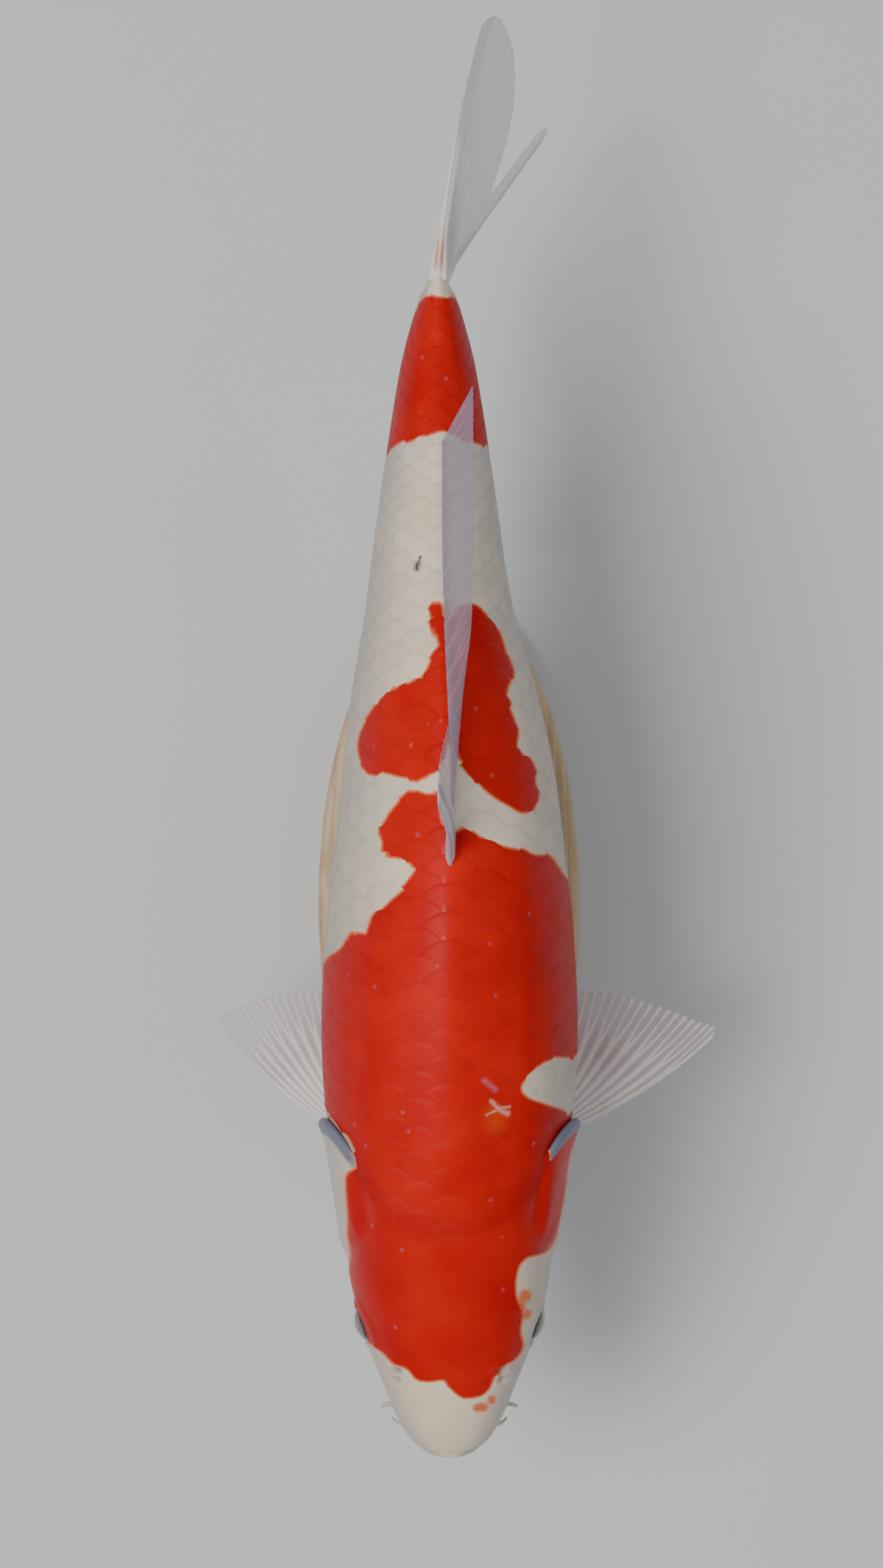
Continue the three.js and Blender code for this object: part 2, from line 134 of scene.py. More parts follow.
class Curve:
    """A monotone cubic through knots, taken over the square root of the distance."""

    def __init__(self, at: Sequence[float], value: Sequence[float]) -> None:
        """Finds the tangents.

        Args:
            at: the knots' distances behind the snout, rising.
            value: the curve's value at each knot.
        """
        self.x = np.sqrt(np.asarray(at, float))
        self.y = np.asarray(value, float)
        slope = np.diff(self.y) / np.diff(self.x)
        product = slope[:-1] * slope[1:]
        total = np.where(product > 0, slope[:-1] + slope[1:], 1.0)
        inner = np.where(product > 0, 2.0 * product / total, 0.0)
        self.tangent = np.concatenate([slope[:1], inner, slope[-1:]])

    def __call__(self, at: Array) -> Array:
        """The cubic Hermite value.

        Args:
            at: distances.

        Returns:
            The curve's value at each distance.
        """
        q = np.sqrt(np.clip(at, 0.0, self.x[-1] ** 2))
        i = np.clip(np.searchsorted(self.x, q) - 1, 0, len(self.x) - 2)
        step = self.x[i + 1] - self.x[i]
        t = (q - self.x[i]) / step
        rise = (3.0 - 2.0 * t) * t * t
        ends = mix(self.y[i], self.y[i + 1], rise)
        leave = (t - 1.0) ** 2 * t * step * self.tangent[i]
        arrive = (t - 1.0) * t * t * step * self.tangent[i + 1]
        return ends + leave + arrive


# ---- the body's form
class Body:
    """The head and trunk as a surface over distance behind the snout and an angle.

    The angle is 0 on the back, a quarter turn on the left flank and a half turn on the belly. The
    right flank has negative angles. A section is a superellipse about its widest level.
    """

    AXIS = 165
    SNOUT = -245
    LENGTH = 530
    LEVEL = 0.47
    SWERVE = (-5.2, 290, 410)
    # distance behind the snout, half width, height of the back, height of the belly
    STATIONS = (
        (0, 0, -13, -13), (7, 17, 3, -23), (18, 23.8, 14, -30), (33, 29.9, 24, -36),
        (53, 37.4, 34, -43), (81, 44.9, 46, -51), (107, 48.7, 57, -58), (134, 51.8, 66, -64),
        (147, 53.4, 70, -67), (160, 56.2, 73, -70), (200, 58, 80, -77), (240, 56.2, 84, -80),
        (272, 52.5, 83, -80), (305, 48.7, 79, -77), (338, 43.6, 73, -71), (385, 33.3, 61, -56),
        (437, 25.8, 48, -40), (490, 17.4, 36, -31), (510, 12.2, 34, -30), (521, 8.6, 33.5, -30.5),
        (530, 4, 34, -32),
    )
    # distance behind the snout, fullness above and below the widest level
    FULLNESS = (
        (0, 2, 2), (60, 2.35, 2.2), (110, 2.3, 2.3), (200, 2.0, 2.3), (272, 1.88, 2.25),
        (400, 1.95, 2.0), (530, 2.2, 2.2),
    )
    # the table of even shares of the girth: first distance, rows and steps
    NEAR = 0.5
    ROWS = 240
    SHARES = 160
    # relief over the angle, and the distances between which it lies
    BACK_HOLLOW = Ridge(-1.5, 0.36, 0.24)
    BACK_SPAN = (112, 150, 455, 500)
    FLANK_GROOVE = Ridge(-0.5, 1.5, 0.12)
    FLANK_SPAN = (170, 230, 470, 515)

    def __init__(self) -> None:
        """Makes the lines and the table that turns a share of the girth into an angle."""
        at, half, back, belly = zip(*self.STATIONS)
        self.half = Curve(at, half)
        self.back = Curve(at, back)
        self.belly = Curve(at, belly)
        at, above, below = zip(*self.FULLNESS)
        self.above = Curve(at, above)
        self.below = Curve(at, below)
        rows = np.linspace(self.NEAR, self.LENGTH, self.ROWS)
        angle = np.linspace(0.0, PI, self.ROWS + 1)
        line = self.base(rows[:, None], angle[None, :])
        step = np.linalg.norm(np.diff(line, axis=1), axis=2)
        arc = np.concatenate([np.zeros((len(step), 1)), np.cumsum(step, axis=1)], axis=1)
        even = np.linspace(0.0, 1.0, self.SHARES + 1)
        self._angles = np.array([np.interp(even * row[-1], row, angle) for row in arc])

    def midline(self, at: Array) -> Array:
        """Sideways step of the body's midline, eased between two distances."""
        side, start, stop = self.SWERVE
        return side * ease(at, start, stop)

    def base(self, at: Array, angle: Array) -> Array:
        """The plain section: sine and cosine each raised to two over the fullness.

        Args:
            at: distances.
            angle: angles round the section.

        Returns:
            Points in millimetres, with a last axis of three.
        """
        top, bottom = self.back(at), self.belly(at)
        level = bottom + self.LEVEL * (top - bottom)
        sine, cosine = np.sin(angle), np.cos(angle)
        full = np.where(cosine >= 0, self.above(at), self.below(at))
        reach = np.where(cosine >= 0, top - level, level - bottom)
        side = np.sign(sine) * np.abs(sine) ** (2 / full) * self.half(at)
        rise = np.sign(cosine) * np.abs(cosine) ** (2 / full) * reach
        x, y, z = np.broadcast_arrays(
            self.midline(at) + side, self.SNOUT + at, self.AXIS + level + rise
        )
        return np.stack([x, y, z], axis=-1)

    def outward(self, at: Array, angle: Array) -> Array:
        """Unit normals: the change with angle crossed with the change with distance.

        Args:
            at: distances.
            angle: angles round the section.

        Returns:
            Unit vectors with a last axis of three.
        """
        step, turn = 0.05, 0.004
        low = np.maximum(at - step, 0.001)
        along = self.base(at + step, angle) - self.base(low, angle)
        around = self.base(at, angle + turn) - self.base(at, angle - turn)
        normal = np.cross(around, along)
        length = np.linalg.norm(normal, axis=-1, keepdims=True)
        return normal / np.maximum(length, 1e-9)

    def muscle(self, at: Array, angle: Array) -> Array:
        """Hollows each side of the back's ridge, and a faint groove along the flank.

        Args:
            at: distances.
            angle: angles round the section.

        Returns:
            Heights in millimetres, none above the plain section.
        """
        turn = np.abs(angle)
        hollow = self.BACK_HOLLOW.over(turn) * plateau(at, self.BACK_SPAN)
        return hollow + self.FLANK_GROOVE.over(turn) * plateau(at, self.FLANK_SPAN)

    def surface(self, at: Array, angle: Array, lift: Array) -> Array:
        """Points raised by lift and the muscle's relief along the plain section's normal."""
        height = lift + self.muscle(at, angle)
        return self.base(at, angle) + self.outward(at, angle) * height[..., None]

    def angle_at(self, at: Array, girth: Array) -> Array:
        """The angle of a place given as a share of the half girth.

        The place is looked up in the table of even shares, straight between its four neighbours.

        Args:
            at: distances.
            girth: 0 on the back to 1 on the belly, negative on the right. Past 1 goes on round.

        Returns:
            The angles.
        """
        size = np.abs(girth)
        inner = np.where(size > 1, 2 - size, size)
        reach = (np.clip(at, self.NEAR, self.LENGTH) - self.NEAR) / (self.LENGTH - self.NEAR)
        row = reach * (self.ROWS - 1)
        column = np.clip(inner, 0, 1) * self.SHARES
        i = np.minimum(row.astype(int), self.ROWS - 2)
        j = np.minimum(column.astype(int), self.SHARES - 1)
        u, v = row - i, column - j
        table = self._angles
        near = mix(table[i, j], table[i, j + 1], v)
        far = mix(table[i + 1, j], table[i + 1, j + 1], v)
        angle = mix(near, far, u)
        return np.sign(girth) * np.where(size > 1, 2 * PI - angle, angle)

    def share(self, at: Array, angle: Array) -> Array:
        """The sideways place, from 0 on the back through 1 at the flank to 2 on the belly.

        Args:
            at: distances.
            angle: angles round the section.

        Returns:
            The shares, negative on the right flank.
        """
        turn = np.where(np.abs(angle) > PI, angle - 2 * PI * np.sign(angle), angle)
        full = np.where(np.cos(turn) >= 0, self.above(at), self.below(at))
        side = np.abs(np.sin(turn)) ** (2 / full)
        return np.sign(turn) * np.where(np.cos(turn) >= 0, side, 2 - side)

    def underside(self, at: Array, x: Array) -> Array:
        """Height of the belly's surface above the floor: the lower half of the section.

        Args:
            at: distances.
            x: sideways places in millimetres.

        Returns:
            Heights in millimetres.
        """
        top, bottom = self.back(at), self.belly(at)
        level = bottom + self.LEVEL * (top - bottom)
        out = np.clip(np.abs(x - self.midline(at)) / self.half(at), 0, 1)
        drop = (1 - out ** self.below(at)) ** (1 / self.below(at))
        return self.AXIS + level - (level - bottom) * drop


@dataclass(frozen=True)
class GillCover:
    """The lines of the nape and of the gill covers, as distances behind the snout."""

    top: float = 0.27 * PI
    bottom: float = 0.86 * PI
    fore: float = 106
    fore_bow: float = 16
    nape: float = 107
    corner: float = 132
    low: float = 97
    bow: float = 32
    throat: float = 88
    thickness: float = 1.9
    flare: float = 3.6
    # angles over which the rear edge stands free
    free: Floats = (0.262 * PI, 0.31 * PI, 0.83 * PI, 0.9 * PI)
    # shares of the way down over which the cover rises from the head
    plate: Floats = (-0.02, 0.07, 0.93, 1.02)
    upper_groove: Ridge = Ridge(-0.7, -0.03, 0.05)
    front_groove: Ridge = Ridge(-0.6, -0.06, 0.07)
    fan_height: float = 0.14
    fan_lines: float = 26
    # painted shade just behind the head's edge at the nape: its strength, distance behind and width
    nape_shadow: Ridge = Ridge(0.45, 3, 8)

    def down(self, turn: Array) -> Array:
        """0 at the cover's upper edge and 1 at its lower edge."""
        return (turn - self.top) / (self.bottom - self.top)

    def arch(self, turn: Array) -> Array:
        """How far the rear edge bows back, as a share."""
        return np.sin(PI * np.clip(self.down(turn), 0, 1) ** 0.7)

    def front(self, turn: Array) -> Array:
        """The cover's front edge."""
        return self.fore - self.fore_bow * np.sin(0.8 * PI * np.clip(self.down(turn), 0, 1))

    def rear(self, turn: Array) -> Array:
        """The line where the head ends: the nape, the cover's rear edge, then the throat.

        Args:
            turn: angles from the back, without sign.

        Returns:
            Distances behind the snout.
        """
        nape = self.nape + (self.corner - self.nape) * np.clip(turn / self.top, 0, 1) ** 2.2
        edge = mix(self.corner, self.low, np.clip(self.down(turn), 0, 1))
        edge = edge + self.bow * self.arch(turn)
        under = ease(turn, self.bottom, PI)
        line = np.where(turn < self.top, nape, edge)
        return mix(line, self.throat, np.where(turn > self.bottom, under, 0.0))

    def open(self, turn: Array) -> Array:
        """1 where the cover's edge stands free and 0 at the nape and the throat."""
        return plateau(turn, self.free)

    def nape_shade(self, at: Array, turn: Array) -> Array:
        """Painted shade where the head ends and the scales begin, between the covers."""
        return self.nape_shadow.over(at - self.rear(turn)) * (1 - self.open(turn)) * (turn < PI / 2)

    def lift(self, at: Array, turn: Array) -> Array:
        """Height of the cover's outer face, which rises and flares towards its rear edge.

        Args:
            at: distances.
            turn: angles from the back, without sign.

        Returns:
            Heights in millimetres.
        """
        down = self.down(turn)
        back = (at - self.front(turn)) / (self.rear(turn) - self.front(turn))
        inside = plateau(down, self.plate) * ease(back, -0.12, 0.14)
        swell = 0.55 + 0.45 * np.sin(PI * np.clip(back + 0.12, 0, 1))
        flare = self.flare * np.clip(back, 0, 1) ** 3 * self.arch(turn)
        grooves = self.upper_groove.over(down) * ease(back, 0, 0.3)
        grooves = grooves + self.front_groove.over(back) * ease(down, 0, 0.2)
        fan = self.fan_height * np.sin(self.fan_lines * np.arctan2(down - 0.02, back + 0.35))
        return (self.thickness * swell + 0.1 + flare + fan) * inside + grooves


# ---- red markings
@dataclass(frozen=True)
class Patch:
    """One red patch, outlined by listed corners joined by smooth curves.

    A corner is a distance behind the snout and a share in hundredths.
    """

    corners: tuple[tuple[int, int], ...]
    pieces: int = 4
    reach: float = 40.0
    batch: int = 6000

    def outline(self, body: Body) -> Array:
        """The closed outline: a Catmull-Rom curve through the corners.

        Args:
            body: gives the half width that turns a share into millimetres.

        Returns:
            Points of (at, sideways millimetres).
        """
        knots = np.array(self.corners) / [1, 100]
        before, after, later = (np.roll(knots, k, axis=0) for k in (1, -1, -2))
        t = np.linspace(0, 1, self.pieces, endpoint=False)[None, :, None]
        a, b, c, d = (k[:, None, :] for k in (before, knots, after, later))
        cubic = (3 * (b - c) + d - a) * t + (2 * a - 5 * b + 4 * c - d)
        line = (b + 0.5 * t * (c - a + t * cubic)).reshape(-1, 2)
        line[:, 1] *= body.half(line[:, 0])
        return line

    def depth(self, body: Body, at: Array, side: Array) -> Array:
        """Distance to the outline, positive inside it.

        Args:
            body: the body's form.
            at: distances behind the snout, flat.
            side: sideways places in millimetres, flat.

        Returns:
            Signed distances, worked out within reach of the patch and held to it elsewhere.
        """
        line = self.outline(body)
        low, high = line.min(0) - self.reach, line.max(0) + self.reach
        near = (at > low[0]) & (at < high[0]) & (side > low[1]) & (side < high[1])
        found = np.full(at.shape, -self.reach)
        p = np.stack([at[near], side[near]], axis=1)
        batches = np.array_split(p, max(1, len(p) // self.batch))
        found[near] = np.concatenate([self._signed(line, part) for part in batches])
        return found

    @staticmethod
    def _signed(line: Array, p: Array) -> Array:
        """Distance from points to a closed line, signed by how often a ray crosses it.

        Args:
            line: the line's points.
            p: the points asked about.

        Returns:
            Signed distances, positive inside.
        """
        start, end = line[None], np.roll(line, -1, axis=0)[None]
        q = p[:, None]
        run = end - start
        t = ((q - start) * run).sum(2) / np.maximum((run * run).sum(2), 1e-9)
        nearest = start + np.clip(t, 0, 1)[..., None] * run
        distance = np.sqrt(((q - nearest) ** 2).sum(2).min(1))
        spans = (start[..., 1] > q[..., 1]) != (end[..., 1] > q[..., 1])
        rise = np.where(run[..., 1] == 0, 1e-9, run[..., 1])
        cross = start[..., 0] + (q[..., 1] - start[..., 1]) / rise * run[..., 0]
        inside = (spans & (q[..., 0] < cross)).sum(1) % 2 == 1
        return np.where(inside, distance, -distance)


@dataclass(frozen=True)
class Spot:
    """A small pale red oval at (at, share) with its half lengths along and across."""

    at: float
    share: float
    along: float
    across: float
    shallow: float = 0.15
    softness: float = 0.6

    def depth(self, body: Body, at: Array, side: Array) -> Array:
        """A softened distance to the oval's edge, positive inside it, at most shallow.

        Args:
            body: gives the half width that turns a share into millimetres.
            at: distances.
            side: sideways places in millimetres.

        Returns:
            The distances times the softness.
        """
        u = at - self.at
        v = side - self.share * float(body.half(np.array(self.at)))
        inward = 1 - np.hypot(u / self.along, v / self.across)
        rise = self.softness * min(self.along, self.across)
        return np.minimum(inward * rise, self.shallow)


@dataclass(frozen=True)
class Markings:
    """The red markings that skin and scales share."""

    patches: tuple[Patch, ...]
    specks: tuple[Spot, ...]
    most: float = 8

    def depth(self, body: Body, at: Array, share: Array) -> Array:
        """Signed distance into the nearest red patch.

        Args:
            body: the body's form.
            at: distances.
            share: sideways places.

        Returns:
            Millimetres, positive inside a patch and held between plus and minus most.
        """
        flat, side = at.ravel(), (share * body.half(at)).ravel()
        found = [patch.depth(body, flat, side) for patch in self.patches]
        found += [speck.depth(body, flat, side) for speck in self.specks]
        return np.clip(np.max(found, axis=0), -self.most, self.most).reshape(at.shape)


# corners of each red patch: distance behind the snout, and share in hundredths
PATCHES = {
    "crown_and_shoulders": (
        (134, -83), (130, -86), (115, -88), (103, -92), (90, -98), (76, -106), (65, -108),
        (57, -102), (52, -84), (47, -73), (45, -56), (40, -46), (39, -29), (40, -9), (37, -2),
        (32, 15), (31, 30), (32, 49), (36, 59), (41, 60), (42, 70), (46, 70), (48, 83), (54, 86),
        (62, 79), (70, 77), (79, 67), (89, 66), (95, 72), (96, 86), (98, 95), (120, 98),
        (138, 98), (147, 102), (154, 106), (159, 91), (163, 77), (168, 58), (173, 54), (178, 60),
        (182, 67), (184, 75), (183, 85), (182, 98), (186, 120), (205, 134), (232, 130),
        (252, 116), (262, 96), (272, 84), (273, 71), (276, 61), (278, 46), (282, 28), (286, 15),
        (282, 6), (284, -4), (300, -10), (299, -20), (301, -36), (296, -47), (285, -60),
        (277, -55), (272, -56), (271, -42), (269, -28), (261, -36), (255, -48), (246, -61),
        (238, -65), (239, -76), (231, -84), (227, -94), (219, -104), (204, -122), (184, -128),
        (168, -116), (156, -97), (149, -85), (138, -78),
    ),
    "right_of_back_fin": (
        (361, -10), (357, 3), (330, 3), (313, -3), (309, -15), (306, -33), (306, -46), (308, -60),
        (308, -71), (313, -82), (320, -87), (328, -84), (334, -76), (338, -70), (343, -61),
        (348, -54), (347, -38), (352, -24),
    ),
    "left_of_back_fin": (
        (383, 45), (378, 61), (370, 72), (360, 74), (351, 76), (343, 65), (336, 67), (326, 71),
        (321, 66), (314, 76), (306, 80), (296, 77), (290, 65), (294, 50), (300, 33), (308, 19),
        (318, 6), (340, 2), (366, 4), (379, 20),
    ),
    "beside_back_fin": (
        (379, -16), (382, -9), (381, 2), (362, 2), (366, -6), (373, -13),
    ),
    "tail_stalk": (
        (519, -50), (518, 0), (518, 50), (519, 100), (508, 135), (485, 142), (464, 130),
        (455, 102), (453, 80), (455, 50), (458, 16), (456, -20), (456, -43), (453, -77),
        (451, -96), (456, -120), (468, -132), (480, -112), (492, -97), (506, -102), (516, -92),
    ),
}
# small pale red spots in the white
SPECKS = (
    Spot(26, 0.52, 2.0, 3.0),
    Spot(29.5, 0.66, 1.8, 1.4, 0.05),
    Spot(78, 0.76, 2.6, 2.4),
    Spot(73, 0.74, 3.0, 1.2, 0.1),
    Spot(69, 0.81, 2.0, 1.8),
)
MARKINGS = Markings(tuple(Patch(corners) for corners in PATCHES.values()), SPECKS)


# ---- meshes
def grid_quads(across: int, along: int) -> Array:
    """Quads of a grid whose vertices are numbered along first and then across."""
    i, j = np.indices((across - 1, along - 1))
    first = (i * along + j).ravel()
    return np.stack([first, first + along, first + along + 1, first + 1], 1)


def grid_rim(across: int, along: int) -> Array:
    """Vertices once round the rim of such a grid.

    Args:
        across: its columns.
        along: the vertices of a column.

    Returns:
        Their numbers.
    """
    sides = (
        np.arange(across) * along,
        (across - 1) * along + np.arange(1, along),
        np.arange(across - 2, -1, -1) * along + along - 1,
        np.arange(along - 2, 0, -1),
    )
    return np.concatenate(sides)


def inside_out(points: Array, faces: Sequence[Array]) -> bool:
    """Tells whether closed faces enclose less than nothing, by summing their corners' volumes.

    Args:
        points: vertices, one row each.
        faces: arrays of vertex numbers.

    Returns:
        True if the faces have to be turned round.
    """
    total = 0.0
    for group in faces:
        corner = points[group]
        for k in range(1, group.shape[1] - 1):
            turned = np.cross(corner[:, k], corner[:, k + 1])
            total += float((corner[:, 0] * turned).sum())
    return total < 0


def finish_mesh(
    name: str, points: Array, faces: Sequence[Array], uvs: Sequence[Array] | None,
    values: dict[str, Array], finish: Material, smooth: Array | None = None,
) -> Piece:
    """Puts points and faces into a mesh object at the origin.

    Args:
        name: the piece's name.
        points: vertices in millimetres, one row each.
        faces: arrays of vertex numbers, one array for each number of corners.
        uvs: for each array of faces, the place of every corner on the OFBake map.
        values: point attributes by name.
        finish: the material.
        smooth: for each face in turn, whether it is shaded smooth. All are unless given.

    Returns:
        The new object.
    """
    if inside_out(points, faces):
        faces = [f[:, ::-1] for f in faces]
        uvs = uvs and [u.reshape(len(u), -1, 2)[:, ::-1] for u in uvs]
    counts = np.concatenate([np.full(len(f), f.shape[1]) for f in faces])
    corners = np.concatenate([f.ravel() for f in faces])
    mesh = bpy.data.meshes.new(name)
    mesh.vertices.add(len(points))
    mesh.vertices.foreach_set("co", np.ascontiguousarray(points * MM, np.float32).ravel())
    mesh.loops.add(len(corners))
    mesh.loops.foreach_set("vertex_index", corners.astype(np.int32))
    mesh.polygons.add(len(counts))
    mesh.polygons.foreach_set("loop_start", np.concatenate([[0], np.cumsum(counts)[:-1]]))
    mesh.polygons.foreach_set("loop_total", counts)
    mesh.update(calc_edges=True)
    shading = np.ones(len(counts), bool) if smooth is None else smooth
    mesh.polygons.foreach_set("use_smooth", shading)
    if uvs is not None:
        layer = mesh.uv_layers.new(name="OFBake")
        flat = np.concatenate([u.reshape(-1, 2) for u in uvs])
        layer.uv.foreach_set("vector", np.ascontiguousarray(flat, np.float32).ravel())
    for key, value in values.items():
        layer = mesh.attributes.new(key, "FLOAT", "POINT")
        layer.data.foreach_set("value", np.ascontiguousarray(value, np.float32).ravel())
    mesh.validate()
    mesh.materials.append(finish)
    piece = bpy.data.objects.new(name, mesh)
    bpy.context.scene.collection.objects.link(piece)
    return piece


def ring_mesh(
    name: str, rows: Array, start: Array, end: Array, values: dict[str, Array], finish: Material
) -> Piece:
    """A closed surface of rings, with a pole at each end.

    Args:
        name: the piece's name.
        rows: points of shape (rings, places round the ring, 3), turning outwards.
        start: the point that closes the first ring.
        end: the point that closes the last ring.
        values: point attributes of shape (rings, places), which the poles take from their ring.
        finish: the material.

    Returns:
        The new object.
    """
    count, around = rows.shape[:2]
    i, j = (index.ravel() for index in np.indices((count - 1, around)))
    k = (j + 1) % around
    near, far = i * around, (i + 1) * around
    quads = np.stack([near + j, near + k, far + k, far + j], 1)
    u0, u1 = j / around, (j + 1) / around
    v0, v1 = (i + 1) / (count + 1), (i + 2) / (count + 1)
    quad_uv = np.stack([u0, v0, u1, v0, u1, v1, u0, v1], 1)
    j = np.arange(around)
    k = (j + 1) % around
    pole, last = np.full(around, count * around), (count - 1) * around
    caps = np.concatenate([np.stack([pole, k, j], 1), np.stack([pole + 1, last + j, last + k], 1)])
    u0, u1, middle = j / around, (j + 1) / around, (j + 0.5) / around
    v0, v1 = np.full((2, around), [[1], [count]]) / (count + 1)
    first_uv = np.stack([middle, 0 * v0, u1, v0, u0, v0], 1)
    last_uv = np.stack([middle, 0 * v1 + 1, u0, v1, u1, v1], 1)
    cap_uv = np.concatenate([first_uv, last_uv])
    points = np.concatenate([rows.reshape(-1, 3), [start], [end]])
    full = {key: np.array([*v.ravel(), v[0].mean(), v[-1].mean()]) for key, v in values.items()}
    return finish_mesh(name, points, [quads, caps], [quad_uv, cap_uv], full, finish)


def plate_mesh(
    name: str, outer: Array, inner: Array, values: dict[str, Array], finish: Material
) -> Piece:
    """A closed plate: two sheets joined round their rim.

    Args:
        name: the piece's name.
        outer: the first sheet, of shape (across, along, 3).
        inner: the second sheet, of the same shape.
        values: point attributes of shape (across, along), the same on both sheets.
        finish: the material.

    Returns:
        The new object, with its faces turned outwards.
    """
    across, along = outer.shape[:2]
    size = across * along
    front = grid_quads(across, along)
    back = front[:, ::-1] + size
    loop = grid_rim(across, along)
    follow = np.roll(loop, -1)
    rim = np.stack([loop, loop + size, follow + size, follow], 1)
    u, v = np.meshgrid(np.linspace(0, 0.48, across), np.linspace(0, 1, along), indexing="ij")
    place = np.stack([u.ravel(), v.ravel()], 1)
    mirrored = place * [-1, 1] + [1, 0]
    spot = np.linspace(0, 1, len(loop) + 1)
    left, right = np.full(len(loop), 0.485), np.full(len(loop), 0.515)
    rim_uv = np.stack([left, spot[:-1], right, spot[:-1], right, spot[1:], left, spot[1:]], 1)
    quads = np.concatenate([front, back, rim])
    uv = np.concatenate(
        [place[front].reshape(-1, 8), mirrored[back - size].reshape(-1, 8), rim_uv]
    )
    points = np.concatenate([outer.reshape(-1, 3), inner.reshape(-1, 3)])
    doubled = {key: np.concatenate([v.ravel(), v.ravel()]) for key, v in values.items()}
    return finish_mesh(name, points, [quads], [uv], doubled, finish)


# ---- node trees
WHITE_WARM: Colour = (0.84, 0.67, 0.48)
WHITE_COOL: Colour = (0.77, 0.64, 0.50)
# colours of painted shade: the shade attribute takes white and red towards them in hollows,
# creases, the gill slits and on the flanks, and also for the scales' faint edges and the feelers'
# grey
WHITE_SHADE: Colour = (0.16, 0.17, 0.23)
RED_DEEP: Colour = (0.52, 0.004, 0.003)
RED_BRIGHT: Colour = (0.60, 0.010, 0.004)
RED_SHADE: Colour = (0.25, 0.006, 0.010)
FRINGE: Colour = (0.74, 0.20, 0.08)
ORANGE: Colour = (0.66, 0.075, 0.008)
PINK: Colour = (0.74, 0.38, 0.32)
LILAC: Colour = (0.42, 0.18, 0.26)
INK: Colour = (0.02, 0.02, 0.03)
# how far a full shade takes the white and the red to their painted-shade colours
SHADE_ON_WHITE = 0.7
SHADE_ON_RED = 0.55
# pale dots in the red: dots to a metre, their radius and the end of their soft edge, strength
DOTS = (80.0, 0.05, 0.11, 0.28)
# strength and colour of the small marks that lie on the red
FLECKS = {"Lilac": (0.5, LILAC), "Halo": (0.6, ORANGE), "Star": (0.7, PINK)}


class Tree:
    """Adds and joins the nodes of one material or group."""

    def __init__(self, tree: Nodes) -> None:
        """Takes an empty tree."""
        self.tree = tree

    def add(self, kind: str, inputs: dict | None = None, **settings: object) -> Node:
        """Adds a node, sets its options, and fills or joins its inputs.

        Args:
            kind: the node's type name without "ShaderNode".
            inputs: by name or number, a plain value or another node's output socket.
            settings: the node's own options.

        Returns:
            The new node.
        """
        node = self.tree.nodes.new("ShaderNode" + kind)
        for key, value in settings.items():
            setattr(node, key, value)
        for key, value in (inputs or {}).items():
            if isinstance(value, Socket):
                self.join(value, node, key)
            else:
                node.inputs[key].default_value = value
        return node

    def join(self, value: Socket, node: Node, key: str | int) -> None:
        """Joins a socket to a node's input."""
        self.tree.links.new(value, node.inputs[key])

    def vector(self, operation: str, one: Input, other: Input) -> Socket:
        """One step over two vectors; measures come out of the second socket."""
        node = self.add("VectorMath", {0: one, 1: other}, operation=operation)
        return node.outputs[1 if operation in ("DOT_PRODUCT", "DISTANCE") else 0]

    def math(self, operation: str, *terms: Input) -> Socket:
        """One arithmetic step over numbers or sockets."""
        node = self.add("Math", dict(enumerate(terms)), operation=operation)
        return node.outputs[0]

    def blend(self, share: Socket, low: Input, high: Input) -> Socket:
        """A colour between two colours, each a plain colour or another node's output."""
        low, high = (c if isinstance(c, Socket) else (*c, 1) for c in (low, high))
        return self.add("Mix", {0: share, 6: low, 7: high}, data_type="RGBA").outputs[2]

    def range(self, value: Socket, low: float, high: float, out: Pair = (0, 1)) -> Socket:
        """Carries a value from the range low to high to the range out, held at its ends."""
        spans = {"From Min": low, "From Max": high, "To Min": out[0], "To Max": out[1]}
        return self.add("MapRange", {"Value": value, **spans}).outputs[0]

    def attribute(self, name: str) -> Socket:
        """A point attribute's value."""
        return self.add("Attribute", attribute_name=name).outputs["Fac"]

    def place(self) -> Socket:
        """The piece's own coordinates."""
        return self.add("TexCoord").outputs["Object"]

    def noise(self, place: Socket, scale: Input, detail: float, distortion: float = 0.0) -> Socket:
        """Noise over some coordinates, from about 0.3 to 0.7."""
        inputs = {"Vector": place, "Scale": scale, "Detail": detail, "Distortion": distortion}
        return self.add("TexNoise", inputs).outputs[0]


def new_group(
    name: str, inputs: dict[str, float], outputs: dict[str, str]
) -> tuple[Nodes, Tree, Node, Node]:
    """An empty shader group.

    Args:
        name: the group's name.
        inputs: float inputs and their starting values.
        outputs: output names and their socket kinds.

    Returns:
        The group, a Tree over it, its input node and its output node.
    """
    group = bpy.data.node_groups.new(name, "ShaderNodeTree")
    for key, value in inputs.items():
        socket = group.interface.new_socket(key, in_out="INPUT", socket_type="NodeSocketFloat")
        socket.default_value = value
    for key, kind in outputs.items():
        group.interface.new_socket(key, in_out="OUTPUT", socket_type=kind)
    source = group.nodes.new("NodeGroupInput")
    sink = group.nodes.new("NodeGroupOutput")
    return group, Tree(group), source, sink


def mottle_group() -> Nodes:
    """Cloudy and fine unevenness over the piece's own coordinates, in one group.

    Returns:
        A group with a Size input, and Cloud, Grain and Height outputs.
    """
    group, tree, source, sink = new_group(
        "mottle",
        {"Size": 1.0},
        {"Cloud": "NodeSocketFloat", "Grain": "NodeSocketFloat", "Height": "NodeSocketFloat"},
    )
    place = tree.place()
    clouds, grains, pores = (
        tree.math("MULTIPLY", source.outputs["Size"], scale) for scale in (38.0, 620.0, 900.0)
    )
    grain = tree.noise(place, grains, 3.0)
    pore = tree.add("TexVoronoi", {"Vector": place, "Scale": pores}).outputs["Distance"]
    tree.join(tree.noise(place, clouds, 4.0), sink, "Cloud")
    tree.join(grain, sink, "Grain")
    tree.join(tree.math("ADD", grain, tree.math("MULTIPLY", pore, 0.4)), sink, "Height")
    return group


